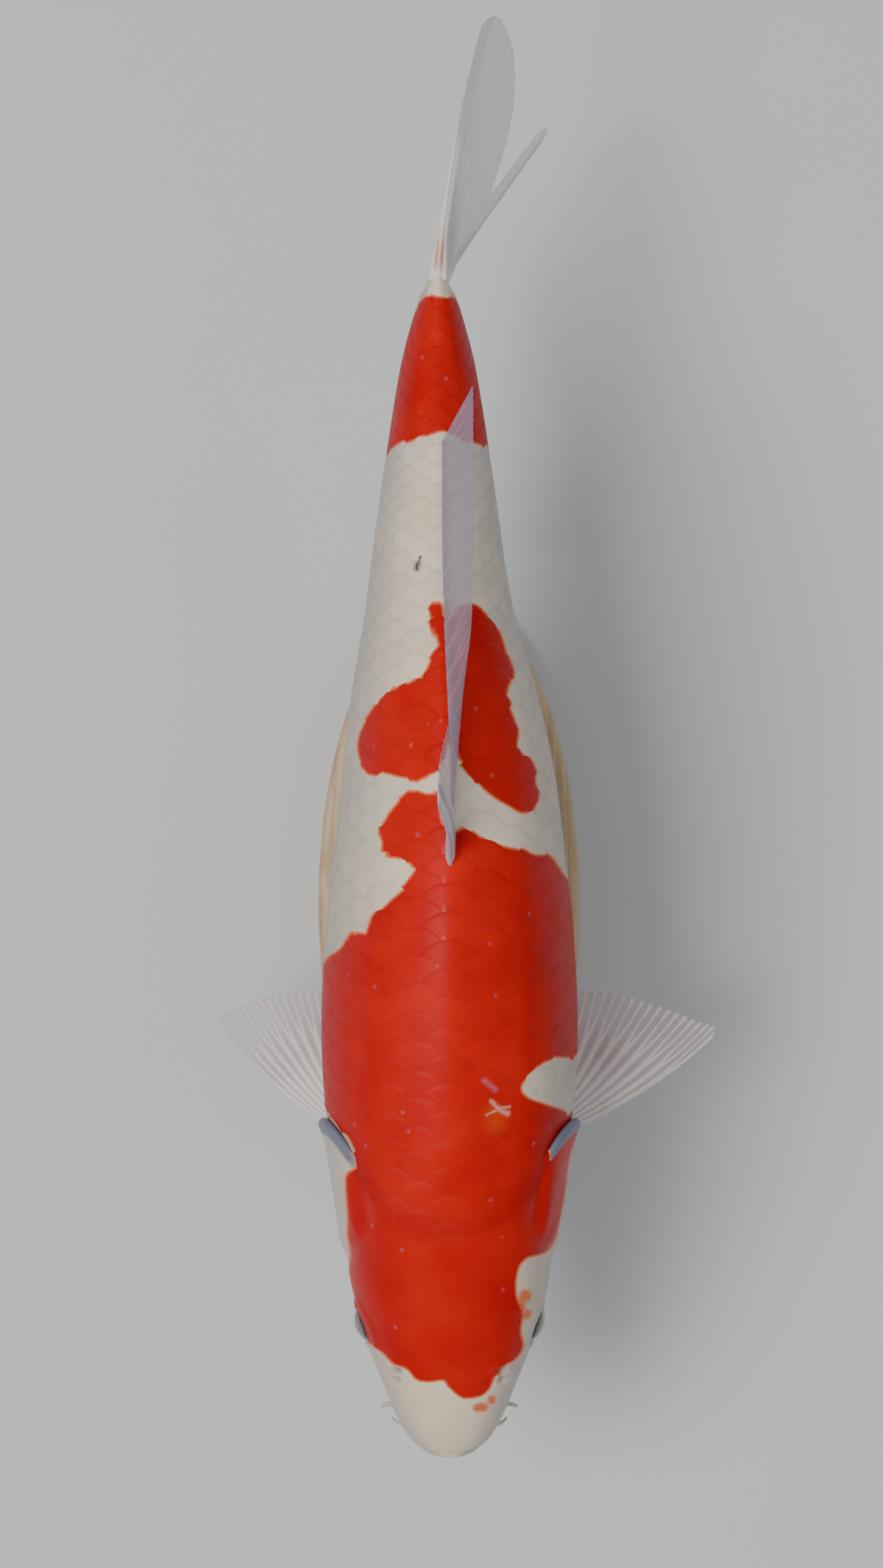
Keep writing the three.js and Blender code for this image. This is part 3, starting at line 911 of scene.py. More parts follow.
@dataclass(frozen=True)
class Stroke:
    """A small straight mark on the back: its two ends as (sideways, at) and its half width."""

    start: Pair
    end: Pair
    width: float


@dataclass(frozen=True)
class Flecks:
    """Marks too small for the skin's mesh, drawn by a shader group over the back."""

    star: tuple[Stroke, ...] = (
        Stroke((17.8, 167.2), (20.7, 163.9), 0.7),
        Stroke((20.7, 163.9), (24.9, 161.4), 0.9),
        Stroke((15.8, 161.3), (20.7, 163.2), 0.4),
        Stroke((20.7, 163.9), (25.8, 164.4), 0.45),
    )
    halo: Stroke = Stroke((19.2, 161.8), (20.0, 158.0), 3.4)
    lilac: Stroke = Stroke((14.8, 176.4), (19.6, 172.2), 0.9)
    ink: tuple[Stroke, ...] = (
        Stroke((-14.2, 397.8), (-12.9, 402.6), 0.5),
        Stroke((-14.4, 397.6), (-14.0, 399.2), 1.1),
    )
    snout: float = Body.SNOUT
    ragged: float = 0.75
    # heights in metres between which the marks set in, so that they stay off the belly
    above: Pair = (0.175, 0.185)

    def strength(self, tree: Tree, place: Socket, stroke: Stroke, uneven: Socket) -> Socket:
        """How strongly a stroke covers each place.

        The distance to the stroke's line, less the unevenness, falls off past the half width.

        Args:
            tree: where the nodes go.
            place: the place in metres with its height taken out.
            stroke: the mark.
            uneven: a small distance in metres.

        Returns:
            A socket from 0 to 1.
        """
        low = np.array([stroke.start[0], self.snout + stroke.start[1], 0.0]) * MM
        run = np.array([stroke.end[0], self.snout + stroke.end[1], 0.0]) * MM - low
        offset = tree.vector("SUBTRACT", place, tuple(low))
        along = tree.vector("DOT_PRODUCT", offset, tuple(run / (run @ run)))
        held = tree.add("Clamp", {"Value": along}).outputs[0]
        nearest = tree.add("VectorMath", {0: tuple(run), "Scale": held}, operation="SCALE")
        gap = tree.vector("DISTANCE", offset, nearest.outputs[0])
        wide = stroke.width * MM
        return tree.range(tree.math("ADD", gap, uneven), 0.0, 2.1 * wide, (1.0, 0.0))

    def build(self) -> Nodes:
        """The group: Star, Halo, Lilac and Ink outputs, all 0 away from the back.

        Returns:
            The group.
        """
        names = ("Star", "Halo", "Lilac", "Ink")
        group, tree, _, sink = new_group("flecks", {}, dict.fromkeys(names, "NodeSocketFloat"))
        place = tree.place()
        flat = tree.vector("MULTIPLY", place, (1.0, 1.0, 0.0))
        height = tree.add("SeparateXYZ", {0: place}).outputs[2]
        above = tree.range(height, *self.above)
        ragged = self.ragged * MM
        uneven = tree.math("MULTIPLY_ADD", tree.noise(place, 700.0, 2.0), 2 * ragged, -ragged)
        for name, strokes in zip(names, (self.star, (self.halo,), (self.lilac,), self.ink)):
            mark = 0.0
            for stroke in strokes:
                mark = tree.math("MAXIMUM", mark, self.strength(tree, flat, stroke, uneven))
            tree.join(tree.math("MULTIPLY", mark, above), sink, name)
        return group


def pigment_group(mottle: Nodes, flecks: Nodes) -> Nodes:
    """White, red and black pigment mixed by the markings.

    Args:
        mottle: the unevenness group.
        flecks: the small marks' group.

    Returns:
        A group with Hi, Tone and Shade inputs and a Color output. Hi is the distance into the red.
    """
    group, tree, source, sink = new_group(
        "pigment", {"Hi": 0.0, "Tone": 0.0, "Shade": 0.0}, {"Color": "NodeSocketColor"}
    )
    cloudy = tree.add("Group", node_tree=mottle)
    cloud = tree.range(cloudy.outputs["Cloud"], 0.35, 0.65)
    small = tree.add("Group", node_tree=flecks)
    shade = source.outputs["Shade"]
    white = tree.blend(cloud, WHITE_WARM, WHITE_COOL)
    white = tree.blend(tree.math("MULTIPLY", shade, SHADE_ON_WHITE), white, WHITE_SHADE)
    red = tree.blend(cloud, RED_DEEP, RED_BRIGHT)
    red = tree.blend(tree.math("MULTIPLY", shade, SHADE_ON_RED), red, RED_SHADE)
    scale, radius, edge, strength = DOTS
    dots = tree.add("TexVoronoi", {"Vector": tree.place(), "Scale": scale}).outputs["Distance"]
    red = tree.blend(tree.range(dots, radius, edge, (strength, 0.0)), red, LILAC)
    for name, (strength, colour) in FLECKS.items():
        red = tree.blend(tree.math("MULTIPLY", small.outputs[name], strength), red, colour)
    wobble = tree.math("MULTIPLY_ADD", cloudy.outputs["Grain"], 0.7, -0.35)
    inward = tree.math("ADD", source.outputs["Hi"], wobble)
    warm = tree.blend(tree.range(inward, -0.6, 0.0), white, FRINGE)
    colour = tree.blend(tree.range(inward, 0.0, 1.0), warm, red)
    colour = tree.blend(small.outputs["Ink"], colour, INK)
    bright = tree.math("MULTIPLY_ADD", source.outputs["Tone"], 0.10, 1.0)
    scaled = tree.add("VectorMath", {0: colour, "Scale": bright}, operation="SCALE")
    tree.join(scaled.outputs[0], sink, "Color")
    return group


@dataclass(frozen=True)
class Finish:
    """What every finish has: a name and the shader's fixed values."""

    name: str
    roughness: float = 0.5
    metallic: float = 0
    coat: float = 0
    coat_roughness: float = 0.1
    ior: float = 1.45
    soft: float = 0

    def begin(self) -> tuple[Material, Tree, Node]:
        """A new material with its fixed values set.

        Returns:
            The material, a Tree over its nodes, and its Principled BSDF.
        """
        material = bpy.data.materials.new(self.name)
        material.use_nodes = True
        shader = material.node_tree.nodes["Principled BSDF"]
        fixed = {
            "Roughness": self.roughness,
            "Metallic": self.metallic,
            "Coat Weight": self.coat,
            "Coat Roughness": self.coat_roughness,
            "IOR": self.ior,
            "Subsurface Weight": self.soft,
            "Subsurface Radius": (1.0, 0.35, 0.2),
            "Subsurface Scale": 0.002,
        }
        for key, value in fixed.items():
            shader.inputs[key].default_value = value
        return material, Tree(material.node_tree), shader

    def bump(self, tree: Tree, shader: Node, height: Socket, depth: float) -> None:
        """Feeds a height through a Bump node to the shader's normal; depth is in metres."""
        node = tree.add("Bump", {"Height": height, "Distance": depth, "Strength": 1.0})
        tree.join(node.outputs[0], shader, "Normal")


@dataclass(frozen=True)
class SkinFinish(Finish):
    """Wet fish skin with the markings; also used on scales, where growth rings show."""

    rings: float = 0
    ring_pitch: float = 110
    depth: float = 0.00006

    def build(self, mottle: Nodes, pigment: Nodes) -> Material:
        """Colour from the pigment group, gloss and relief from the mottle group.

        Args:
            mottle: the unevenness group.
            pigment: the markings' colour group.

        Returns:
            The material.
        """
        material, tree, shader = self.begin()
        marks = {name.title(): tree.attribute(name) for name in ("hi", "tone", "shade")}
        colour = tree.add("Group", marks, node_tree=pigment).outputs["Color"]
        uneven = tree.add("Group", {"Size": 1.0}, node_tree=mottle)
        glossy, dull = self.roughness - 0.06, self.roughness + 0.08
        gloss = tree.range(uneven.outputs["Cloud"], 0.3, 0.7, (glossy, dull))
        tree.join(colour, shader, "Base Color")
        tree.join(gloss, shader, "Roughness")
        height = uneven.outputs["Height"]
        if self.rings:
            steps = tree.math("MULTIPLY", tree.attribute("grow"), self.ring_pitch)
            height = tree.math("MULTIPLY_ADD", tree.math("SINE", steps), self.rings, height)
        self.bump(tree, shader, height, self.depth)
        return material


@dataclass(frozen=True)
class FinFinish(Finish):
    """A fin: pale bony rays with thinner, clearer web between them."""

    ray: Colour = (0.80, 0.74, 0.68)
    web: Colour = (0.54, 0.44, 0.46)
    cloud: Colour = (0.60, 0.58, 0.60)
    flush: Colour = (0.62, 0.12, 0.04)
    clear: float = 0.72
    depth: float = 0.00008

    def build(self, mottle: Nodes) -> Material:
        """Colour and clearness follow the fin's own "ray", "clear" and "flush" attributes.

        Args:
            mottle: the unevenness group.

        Returns:
            The material.
        """
        material, tree, shader = self.begin()
        uneven = tree.add("Group", {"Size": 1.4}, node_tree=mottle)
        ray, clear = tree.attribute("ray"), tree.attribute("clear")
        colour = tree.blend(tree.range(ray, 0.15, 0.75), self.web, self.ray)
        cloud = tree.range(uneven.outputs["Cloud"], 0.35, 0.65, (0.0, 0.2))
        colour = tree.blend(cloud, colour, self.cloud)
        colour = tree.blend(tree.attribute("flush"), colour, self.flush)
        tree.join(colour, shader, "Base Color")
        thin = tree.math("MULTIPLY", clear, tree.range(ray, 0.0, 1.0, (1.0, 0.4)))
        solid = tree.math("SUBTRACT", 1.0, tree.math("MULTIPLY", thin, self.clear))
        tree.join(solid, shader, "Alpha")
        self.bump(tree, shader, uneven.outputs["Grain"], self.depth)
        return material


@dataclass(frozen=True)
class EyeFinish(Finish):
    """A glossy eye: black pupil, bright ring, bronze iris and a dark rim, by radius."""

    zones: tuple[tuple[float, Colour], ...] = (
        (0.0, (0.004, 0.004, 0.005)),
        (0.46, (0.004, 0.004, 0.005)),
        (0.49, (0.62, 0.46, 0.24)),
        (0.55, (0.10, 0.07, 0.055)),
        (0.68, (0.17, 0.13, 0.11)),
        (0.80, (0.14, 0.12, 0.13)),
        (0.88, (0.03, 0.025, 0.035)),
        (1.0, (0.015, 0.012, 0.02)),
    )
    wobble: float = 0.07
    # radii between which the zones' edges begin to waver, so that the pupil stays round
    pupil_edge: Pair = (0.38, 0.5)

    def build(self) -> Material:
        """A colour ramp over the "radial" attribute, broken up by fine noise.

        Returns:
            The material.
        """
        material, tree, shader = self.begin()
        radial = tree.attribute("radial")
        noise = tree.noise(tree.place(), 900.0, 4.0)
        wobble = tree.math("MULTIPLY_ADD", noise, self.wobble, -self.wobble / 2)
        outer = tree.range(radial, *self.pupil_edge)
        ramp = tree.add("ValToRGB", {0: tree.math("MULTIPLY_ADD", wobble, outer, radial)})
        stops = ramp.color_ramp.elements
        while len(stops) < len(self.zones):
            stops.new(0.5)
        for stop, (where, colour) in zip(stops, self.zones):
            stop.position = where
            stop.color = (*colour, 1)
        tree.join(ramp.outputs[0], shader, "Base Color")
        return material


@dataclass(frozen=True)
class FlatFinish(Finish):
    """One colour clouded into another, with a fine grain."""

    low: Colour = (0.5, 0.5, 0.5)
    high: Colour = (0.6, 0.6, 0.6)
    size: float = 1
    depth: float = 0.00006

    def build(self, mottle: Nodes) -> Material:
        """Colour and relief from the mottle group.

        Args:
            mottle: the unevenness group.

        Returns:
            The material.
        """
        material, tree, shader = self.begin()
        uneven = tree.add("Group", {"Size": self.size}, node_tree=mottle)
        share = tree.range(uneven.outputs["Cloud"], 0.35, 0.65)
        tree.join(tree.blend(share, self.low, self.high), shader, "Base Color")
        self.bump(tree, shader, uneven.outputs["Height"], self.depth)
        return material


@dataclass(frozen=True)
class WoodFinish(Finish):
    """Oiled pale wood with its grain along the base."""

    pale: Colour = (0.56, 0.40, 0.24)
    dark: Colour = (0.36, 0.23, 0.12)
    stretch: tuple[float, float, float] = (1, 0.09, 1)
    ring_count: float = 46
    depth: float = 0.00005

    def build(self, mottle: Nodes) -> Material:
        """Stretched rings of noise for the grain, with fine pores across them.

        Args:
            mottle: the unevenness group.

        Returns:
            The material.
        """
        material, tree, shader = self.begin()
        place = tree.add("Mapping", {"Vector": tree.place(), "Scale": self.stretch}).outputs[0]
        bands = tree.noise(place, 60.0, 3.0, 0.6)
        rings = tree.math("SINE", tree.math("MULTIPLY", bands, self.ring_count))
        grain = tree.range(rings, -1.0, 1.0)
        pits = tree.range(tree.noise(place, 1500.0, 2.0), 0.55, 0.7, (0.0, 0.6))
        colour = tree.blend(tree.math("MULTIPLY", grain, 0.55), self.pale, self.dark)
        tree.join(tree.blend(pits, colour, self.dark), shader, "Base Color")
        uneven = tree.add("Group", {"Size": 0.6}, node_tree=mottle)
        gloss = tree.range(uneven.outputs["Cloud"], 0.3, 0.7, (0.38, 0.55))
        tree.join(gloss, shader, "Roughness")
        self.bump(tree, shader, tree.math("ADD", grain, pits), self.depth)
        return material


@dataclass(frozen=True)
class SteelFinish(Finish):
    """Steel brushed round the rod."""

    low: Colour = (0.50, 0.51, 0.53)
    high: Colour = (0.70, 0.71, 0.73)
    stretch: tuple[float, float, float] = (30, 30, 2600)
    depth: float = 0.00002

    def build(self) -> Material:
        """Noise drawn out round the upright axis breaks up colour, gloss and normal.

        Returns:
            The material.
        """
        material, tree, shader = self.begin()
        place = tree.add("Mapping", {"Vector": tree.place(), "Scale": self.stretch}).outputs[0]
        lines = tree.noise(place, 1.0, 4.0)
        tree.join(tree.blend(lines, self.low, self.high), shader, "Base Color")
        tree.join(tree.range(lines, 0.3, 0.7, (0.22, 0.42)), shader, "Roughness")
        self.bump(tree, shader, lines, self.depth)
        return material


# ---- skin
def flank_painted_shade(share: Array) -> Array:
    """Painted shade, cool and deepening from the back down to the flanks."""
    return 0.66 * ease(np.abs(share), 0.3, 1.05)


@dataclass
class Skin:
    """One closed skin over head, gill covers and trunk, with real gill openings."""

    body: Body
    cover: GillCover
    columns: int = 276
    head_rows: int = 150
    trunk_rows: int = 110
    # the head's rows stand closer towards the snout, by this power
    crowding: float = 1.5
    # how far head and trunk lie under the plain form, and how far short of its end
    head_depth: float = 0.2
    depth: float = 0.33
    tail_gap: float = 0.6
    head_tone: Ridge = Ridge(-0.6, 70, 40)
    # the eye's socket, with walls and grooves by distance outside the eyeball
    eye_at: float = 61.5
    eye_height: float = 5
    eye_radius: float = 8.2
    socket: float = 3.2
    eye_rim: Ridge = Ridge(0.9, 1.2, 1.3)
    brow: Ridge = Ridge(0.9, 5.5, 3.5)
    eye_bag: Ridge = Ridge(-0.5, 4, 1.6)
    # a nostril's middle as (at, sideways), and its pits, rim and flap
    nostril: Pair = (41, 23.5)
    front_pit: Ridge = Ridge(-2, 0, 1.3)
    rear_pit: Ridge = Ridge(-2.2, 0, 1.7)
    nostril_rim: Ridge = Ridge(0.5, 4.4, 1.2)
    flap: Ridge = Ridge(1.1, 0, 0.8)
    # the mouth's slit, lips and folds, by height over the parting of the lips
    mouth_width: float = 19
    slit: Ridge = Ridge(-3.2, 0, 0.95)
    upper_lip: Ridge = Ridge(1.3, 3, 1.7)
    lower_lip: Ridge = Ridge(1.1, -3.1, 1.9)
    slide: Ridge = Ridge(-0.9, 7.2, 1.2)
    chin: Ridge = Ridge(-0.7, -7.5, 1.5)
    cheek: Ridge = Ridge(-0.8, 21, 1.6)
    # the skull's crest and the throat's middle groove, by the sideways place
    crest: Ridge = Ridge(0.5, 0, 5)
    isthmus: Ridge = Ridge(-0.8, 0, 1.4)
    # steps back of the gill slit's profile, and its height from body (0) to the cover's rim (1)
    fold_back: Floats = (0.9, 1.7, 2.3, 2.6, 2.5, 2, 1, 0.2, 0.8, 2.6, 4.5)
    fold_high: Floats = (0.97, 0.88, 0.72, 0.52, 0.34, 0.2, 0.1, 0.03, 0, 0, 0)
    # the closed fold's length, its groove, and the painted shade in it and in the open slit
    fold_length: float = 6
    fold_groove: Ridge = Ridge(-0.35, 0.45, 0.3)
    fold_shade: Pair = (0.12, 0.6)
    # the rim along the open slit, kept free of red and painted with cool shade: where it lies
    # behind the edge, the strength of its painted shade, and how far it counts as outside the red
    rim_span: Floats = (-6, -1.5, 2.5, 5)
    rim_shade: float = 1.2
    bare: float = -3

    def mouth_line(self, x: Array) -> Array:
        """Height of the parting of the lips, drooping towards the corners."""
        return -13.2 - 9.5 * (x / self.mouth_width) ** 2

    def eyes(self, at: Array, x: Array, z: Array) -> Array:
        """Socket under the eyeball with a raised rim round it.

        Args:
            at, x, z: places behind the snout, sideways and over the axis.

        Returns:
            Heights in millimetres.
        """
        outside = np.hypot(at - self.eye_at, z - self.eye_height) - self.eye_radius
        socket = -self.socket * (1 - ease(outside, -1.9, 0.1))
        brow = self.brow.over(outside) * ease(z, 8, 16)
        bag = self.eye_bag.over(outside) * (1 - ease(z, -4, 4))
        return (socket + self.eye_rim.over(outside) + brow + bag) * ease(np.abs(x), 15, 22)

    def nostrils(self, at: Array, x: Array, z: Array) -> Array:
        """Two pits a side with a flap standing between them and a low rim.

        Args:
            at, x, z: places behind the snout, sideways and over the axis.

        Returns:
            Heights in millimetres.
        """
        u, v = at - self.nostril[0], np.abs(x) - self.nostril[1]
        front, rear = np.hypot(u + 2.0, v), np.hypot(u - 1.9, v * 0.9)
        pits = self.front_pit.over(front) + self.rear_pit.over(rear)
        rim = self.nostril_rim.over(np.hypot(u * 0.8, v))
        return (pits + self.flap.over(u) * bell(v, 0, 2.4) + rim) * ease(z, 0, 8)

    def mouth(self, at: Array, x: Array, z: Array) -> Array:
        """The slit, the lips on either side of it, and the fold where the upper lip slides.

        Args:
            at, x, z: places behind the snout, sideways and over the axis.

        Returns:
            Heights in millimetres.
        """
        m = z - self.mouth_line(x)
        size = np.abs(x)
        inside = (1 - ease(size, 16.5, 19.5)) * (1 - ease(at, 14, 19))
        lips = (1 - ease(size, 18.5, 22)) * (1 - ease(at, 17, 22))
        folds = (self.upper_lip.over(m) + self.lower_lip.over(m) + self.chin.over(m)) * lips
        slide = self.slide.over(m) * (1 - ease(size, 15, 24)) * (z > -14)
        cheek = self.cheek.over(at - 0.25 * (z + 20)) * ease(size, 17, 22)
        cheek = cheek * plateau(z, (-34, -26, -12, -4))
        return self.slit.over(m) * inside + folds + slide + cheek

    def bones(self, at: Array, x: Array, z: Array) -> Array:
        """Soft hollows of the skull, and the folds of the throat.

        Args:
            at, x, z: places behind the snout, sideways and over the axis.

        Returns:
            Heights in millimetres.
        """
        size = np.abs(x)
        crest = self.crest.over(x) * bell(at, 72, 28)
        temple = -1.0 * bell(at, 92, 13) * bell(size, 27, 8)
        snout = -0.6 * bell(at, 25, 6) * bell(size, 12, 6)
        pores = -0.28 * np.cos(at * 0.9) ** 8 * bell(size, 0.55 * at - 6, 0.9)
        top = crest + temple + snout + pores * plateau(at, (50, 56, 84, 90))
        folds = -0.9 * (bell(size, 3 + 0.10 * at, 1.1) + bell(size, 8 + 0.16 * at, 1.2))
        throat = (1 - ease(z, -44, -34)) * plateau(at, (36, 50, 84, 94))
        return top * ease(z, 0, 20) + (folds + self.isthmus.over(x)) * throat

    def relief(self, at: Array, angle: Array) -> tuple[Array, Array]:
        """Height of the head's features above the plain form.

        Args:
            at: distances.
            angle: angles round the section.

        Returns:
            Heights in millimetres, and the painted shade of each place, from 0 to 1, deepest in
            hollows.
        """
        p = self.body.base(at, angle)
        x, z = p[..., 0], p[..., 2] - self.body.AXIS
        hollow = self.eyes(at, x, z) + self.nostrils(at, x, z) + self.mouth(at, x, z)
        soft = self.bones(at, x, z)
        cover = self.cover.lift(at, np.abs(angle))
        # painted shade, deepest where the head's relief sinks into hollows and grooves
        dark = np.clip(-0.35 * hollow - 0.12 * soft, 0, 1)
        return hollow + soft + cover - self.head_depth, dark

    def build(self, marks: Markings, finish: Material) -> Piece:
        """Rings run back over the head, round under the covers' rims, and on to the tail.

        Args:
            marks: the red markings.
            finish: the skin's material.

        Returns:
            The skin.
        """
        angle = ((np.arange(self.columns) + 0.5) / self.columns * 2 - 1) * PI
        turn = np.abs(angle)
        edge, free = self.cover.rear(turn), self.cover.open(turn)
        t = (np.arange(1, self.head_rows + 1) / self.head_rows)[:, None] ** self.crowding
        head_at = edge * t
        head_lift, head_painted_shade = self.relief(head_at, angle[None])
        rim = head_lift[-1]
        k = np.linspace(0, 1, len(self.fold_back) + 1)[1:, None]
        shut_lift = mix(rim, -self.depth, ease(k, 0, 1)) + self.fold_groove.over(k)
        open_lift = mix(-self.depth, rim, np.array(self.fold_high)[:, None])
        fold_at = edge + mix(self.fold_length * k, np.array(self.fold_back)[:, None], free)
        fold_lift = mix(shut_lift, open_lift, free)
        # painted shade inside the gill slit's fold
        fold_painted_shade = np.sin(PI * k) ** 2 * mix(*self.fold_shade, free)
        g = (np.arange(1, self.trunk_rows + 1) / self.trunk_rows)[:, None]
        trunk_at = mix(fold_at[-1], self.body.LENGTH - self.tail_gap, g)
        trunk_lift = np.full(trunk_at.shape, -self.depth)
        at = np.concatenate([head_at, fold_at, trunk_at])
        lift = np.concatenate([head_lift, fold_lift, trunk_lift])
        dark = np.concatenate([head_painted_shade, fold_painted_shade, np.zeros(trunk_at.shape)])
        around = np.broadcast_to(angle, at.shape)
        rows = self.body.surface(at, around, lift)
        share = self.body.share(at, around)
        # the slit's rim: the red is taken off it and cool shade is painted on it
        band = plateau(at - edge, self.rim_span) * free
        band = band * mix(1.0, 0.35, ease(turn, 1.5, 2.2))
        # painted shade in the head's hollows, in the slit's fold and on its rim, and in the nape's
        # fold
        shade = dark + self.rim_shade * band + self.cover.nape_shade(at, turn)
        values = {
            "hi": np.minimum(marks.depth(self.body, at, share), mix(marks.most, self.bare, band)),
            "shade": shade + flank_painted_shade(share),
            "tone": self.head_tone.over(at),
            "grow": np.zeros(at.shape),
        }
        tip = rows[0][np.argsort(np.abs(turn - PI / 2))[:4]].mean(0)
        end = np.array(self.body.LENGTH)
        _, y, z = self.body.base(end, np.array(PI / 2))
        tail = np.array([self.body.midline(end), y + 0.5, z])
        return ring_mesh("skin", rows, tip, tail, values, finish)


# ---- scales
@dataclass
class Scales:
    """Overlapping scales in staggered rows from the nape to the tail."""

    body: Body
    cover: GillCover
    rows: int = 13
    first: float = 92
    last: float = 526.5
    # distance from scale to scale, and where it narrows towards the tail
    wide_pitch: float = 12.4
    narrow_pitch: float = 8.6
    narrowing: Pair = (240, 500)
    # a scale's columns across, its rows from root to free edge, and how round its ends are
    columns: int = 7
    places: Floats = (-1, -0.35, 0.15, 0.55, 0.85, 1)
    free_round: float = 0.9
    root_round: float = 0.3
    # reach to the free edge and to the root, in pitches
    lead: float = 1.3
    root: float = 0.95
    # heights over the plain form of root and free edge, the fall to the sides, the thickness
    low: float = -0.34
    high: float = -0.08
    side_drop: float = 0.25
    thickness: float = 0.13
    bevel: float = 1.02
    # scales lie flatter near the nape, by this share and between these distances
    flat: float = 0.75
    flat_near: Pair = (110, 170)
    # how far the scales keep from the head's edge, and more at the open gill slit
    nape_gap: float = 1
    slit_gap: float = 1.8
    # scales cut by that line bend along it, and go if too little is left
    bend: float = 3
    least: float = 4
    # spread of the scales' places, slants, heights and tones
    scatter: float = 0.25
    slant: float = 0.03
    unrest: float = 0.008
    tones: float = 0.28
    # on the map: the border, a scale's half size, and the step to its skirt
    border: float = 0.01
    map_size: Pair = (0.0007, 0.0015)
    map_step: float = 0.0016

    def template(self) -> tuple[Array, Array, Array, Array]:
        """One scale: a grid of columns cut to an arc, a bevelled skirt and one face below.

        Across a scale the columns stand a third of a row apart, so they fall on the columns of
        the rows beside it and all layers bend alike.

        Returns:
            Places (x across, y towards the free edge), a level from 1 on top to 0 below, the
            quads of which the grid's come first, and the bottom's single face.
        """
        x, b = np.meshgrid(np.linspace(-1, 1, self.columns), self.places, indexing="ij")
        y = b * np.sqrt(1 - np.where(b > 0, self.free_round, self.root_round) * x**2)
        top, loop = grid_quads(*x.shape), grid_rim(*x.shape)
        below = x.size + np.arange(len(loop))
        skirt = np.stack([loop, below, np.roll(below, -1), np.roll(loop, -1)], 1)
        place = np.stack([x.ravel(), y.ravel()], 1)
        place = np.concatenate([place, place[loop] * self.bevel])
        level = np.concatenate([np.ones(x.size), np.zeros(len(loop))])
        return place, level, np.concatenate([top, skirt]), below[None, ::-1]

    def lattice(self, whole: bool) -> tuple[Array, Array, Array]:
        """Centres of the scales of one side.

        Args:
            whole: True to include the rows on the midlines of back and belly.

        Returns:
            Distance, girth share and pitch of each scale.
        """
        at = np.linspace(self.first - 20, self.last + 20, 400)
        pitch = mix(self.wide_pitch, self.narrow_pitch, ease(at, *self.narrowing))
        count = np.concatenate([[0], np.cumsum(np.diff(at) / pitch[:-1])])
        rows = range(0, self.rows + 1) if whole else range(1, self.rows)
        found = []
        for row in rows:
            step = np.arange(0, int(count[-1])) + 0.5 * (row % 2)
            place = np.interp(step, count, at)
            found.append(np.stack([place, np.full(len(step), row / self.rows)], 1))
        centre = np.concatenate(found)
        return centre[:, 0], centre[:, 1], np.interp(centre[:, 0], at, pitch)

    def build(self, flank: Flank, marks: Markings, finish: Material, seed: int) -> Piece:
        """All the scales of one side, joined.

        A vertex lies at its scale's centre plus its template place, times the pitch along and the
        row spacing across. It is raised by its share of the way from root to free edge.

        Args:
            flank: the left flank takes both midlines with it.
            marks: the red markings.
            finish: the scales' material.
            seed: for the small irregularities.

        Returns:
            The joined scales.
        """
        rng = np.random.default_rng(seed)
        side = flank.value
        place, level, quads, bottom = self.template()
        at0, girth0, pitch = self.lattice(flank is Flank.LEFT)
        at0 = at0 + rng.normal(0, self.scatter, at0.shape)
        x, y = place[None, :, 0], place[None, :, 1]
        slant = rng.normal(0, self.slant, at0.shape)[:, None]
        reach = np.where(y > 0, self.lead, self.root) * y + slant * x
        at = at0[:, None] + reach * pitch[:, None]
        girth = side * (girth0[:, None] + x / self.rows)
        turn = np.abs(self.body.angle_at(at, girth))
        turn = np.where(turn > PI, 2 * PI - turn, turn)
        limit = self.cover.rear(turn) - self.nape_gap - self.slit_gap * self.cover.open(turn)
        past = at - limit
        at = limit + 0.5 * (past + np.sqrt(past**2 + self.bend))
        keep = (past.max(1) > self.least) & (at.max(1) < self.last)
        at, girth, at0, girth0 = at[keep], girth[keep], at0[keep], girth0[keep]
        rise = mix(self.flat, 1.0, ease(at0, *self.flat_near)) * (self.high - self.low)
        lift = self.low + rise[:, None] * ((y + 1) / 2 - self.side_drop * x**2)
        lift = lift - self.thickness * (1 - level)
        lift = lift + rng.normal(0, self.unrest, at0.shape)[:, None]
        angle = self.body.angle_at(at, girth)
        points = self.body.surface(at, angle, lift)
        values = self.paint(marks, at, angle, x, y, rng)
        count, size = at.shape
        shift = (np.arange(count) * size)[:, None, None]
        faces = [(part + shift).reshape(-1, part.shape[1]) for part in (quads, bottom)]
        on_top = level[quads].min(1) > 0.5
        smooth = np.concatenate([np.tile(on_top, count), np.zeros(count, bool)])
        across = mix(self.border, 1 - self.border, (side * girth0 + 1) / 2)
        home = np.stack([across, at0 / self.body.LENGTH], 1)[:, None, None, :]
        patch = (place + 1) * self.map_size
        patch[level < 0.5, 0] += self.map_step
        uvs = [(home + patch[part]).reshape(-1, part.shape[1] * 2) for part in (quads, bottom)]
        name = f"scales_{flank.word}"
        return finish_mesh(name, points.reshape(-1, 3), faces, uvs, values, finish, smooth)

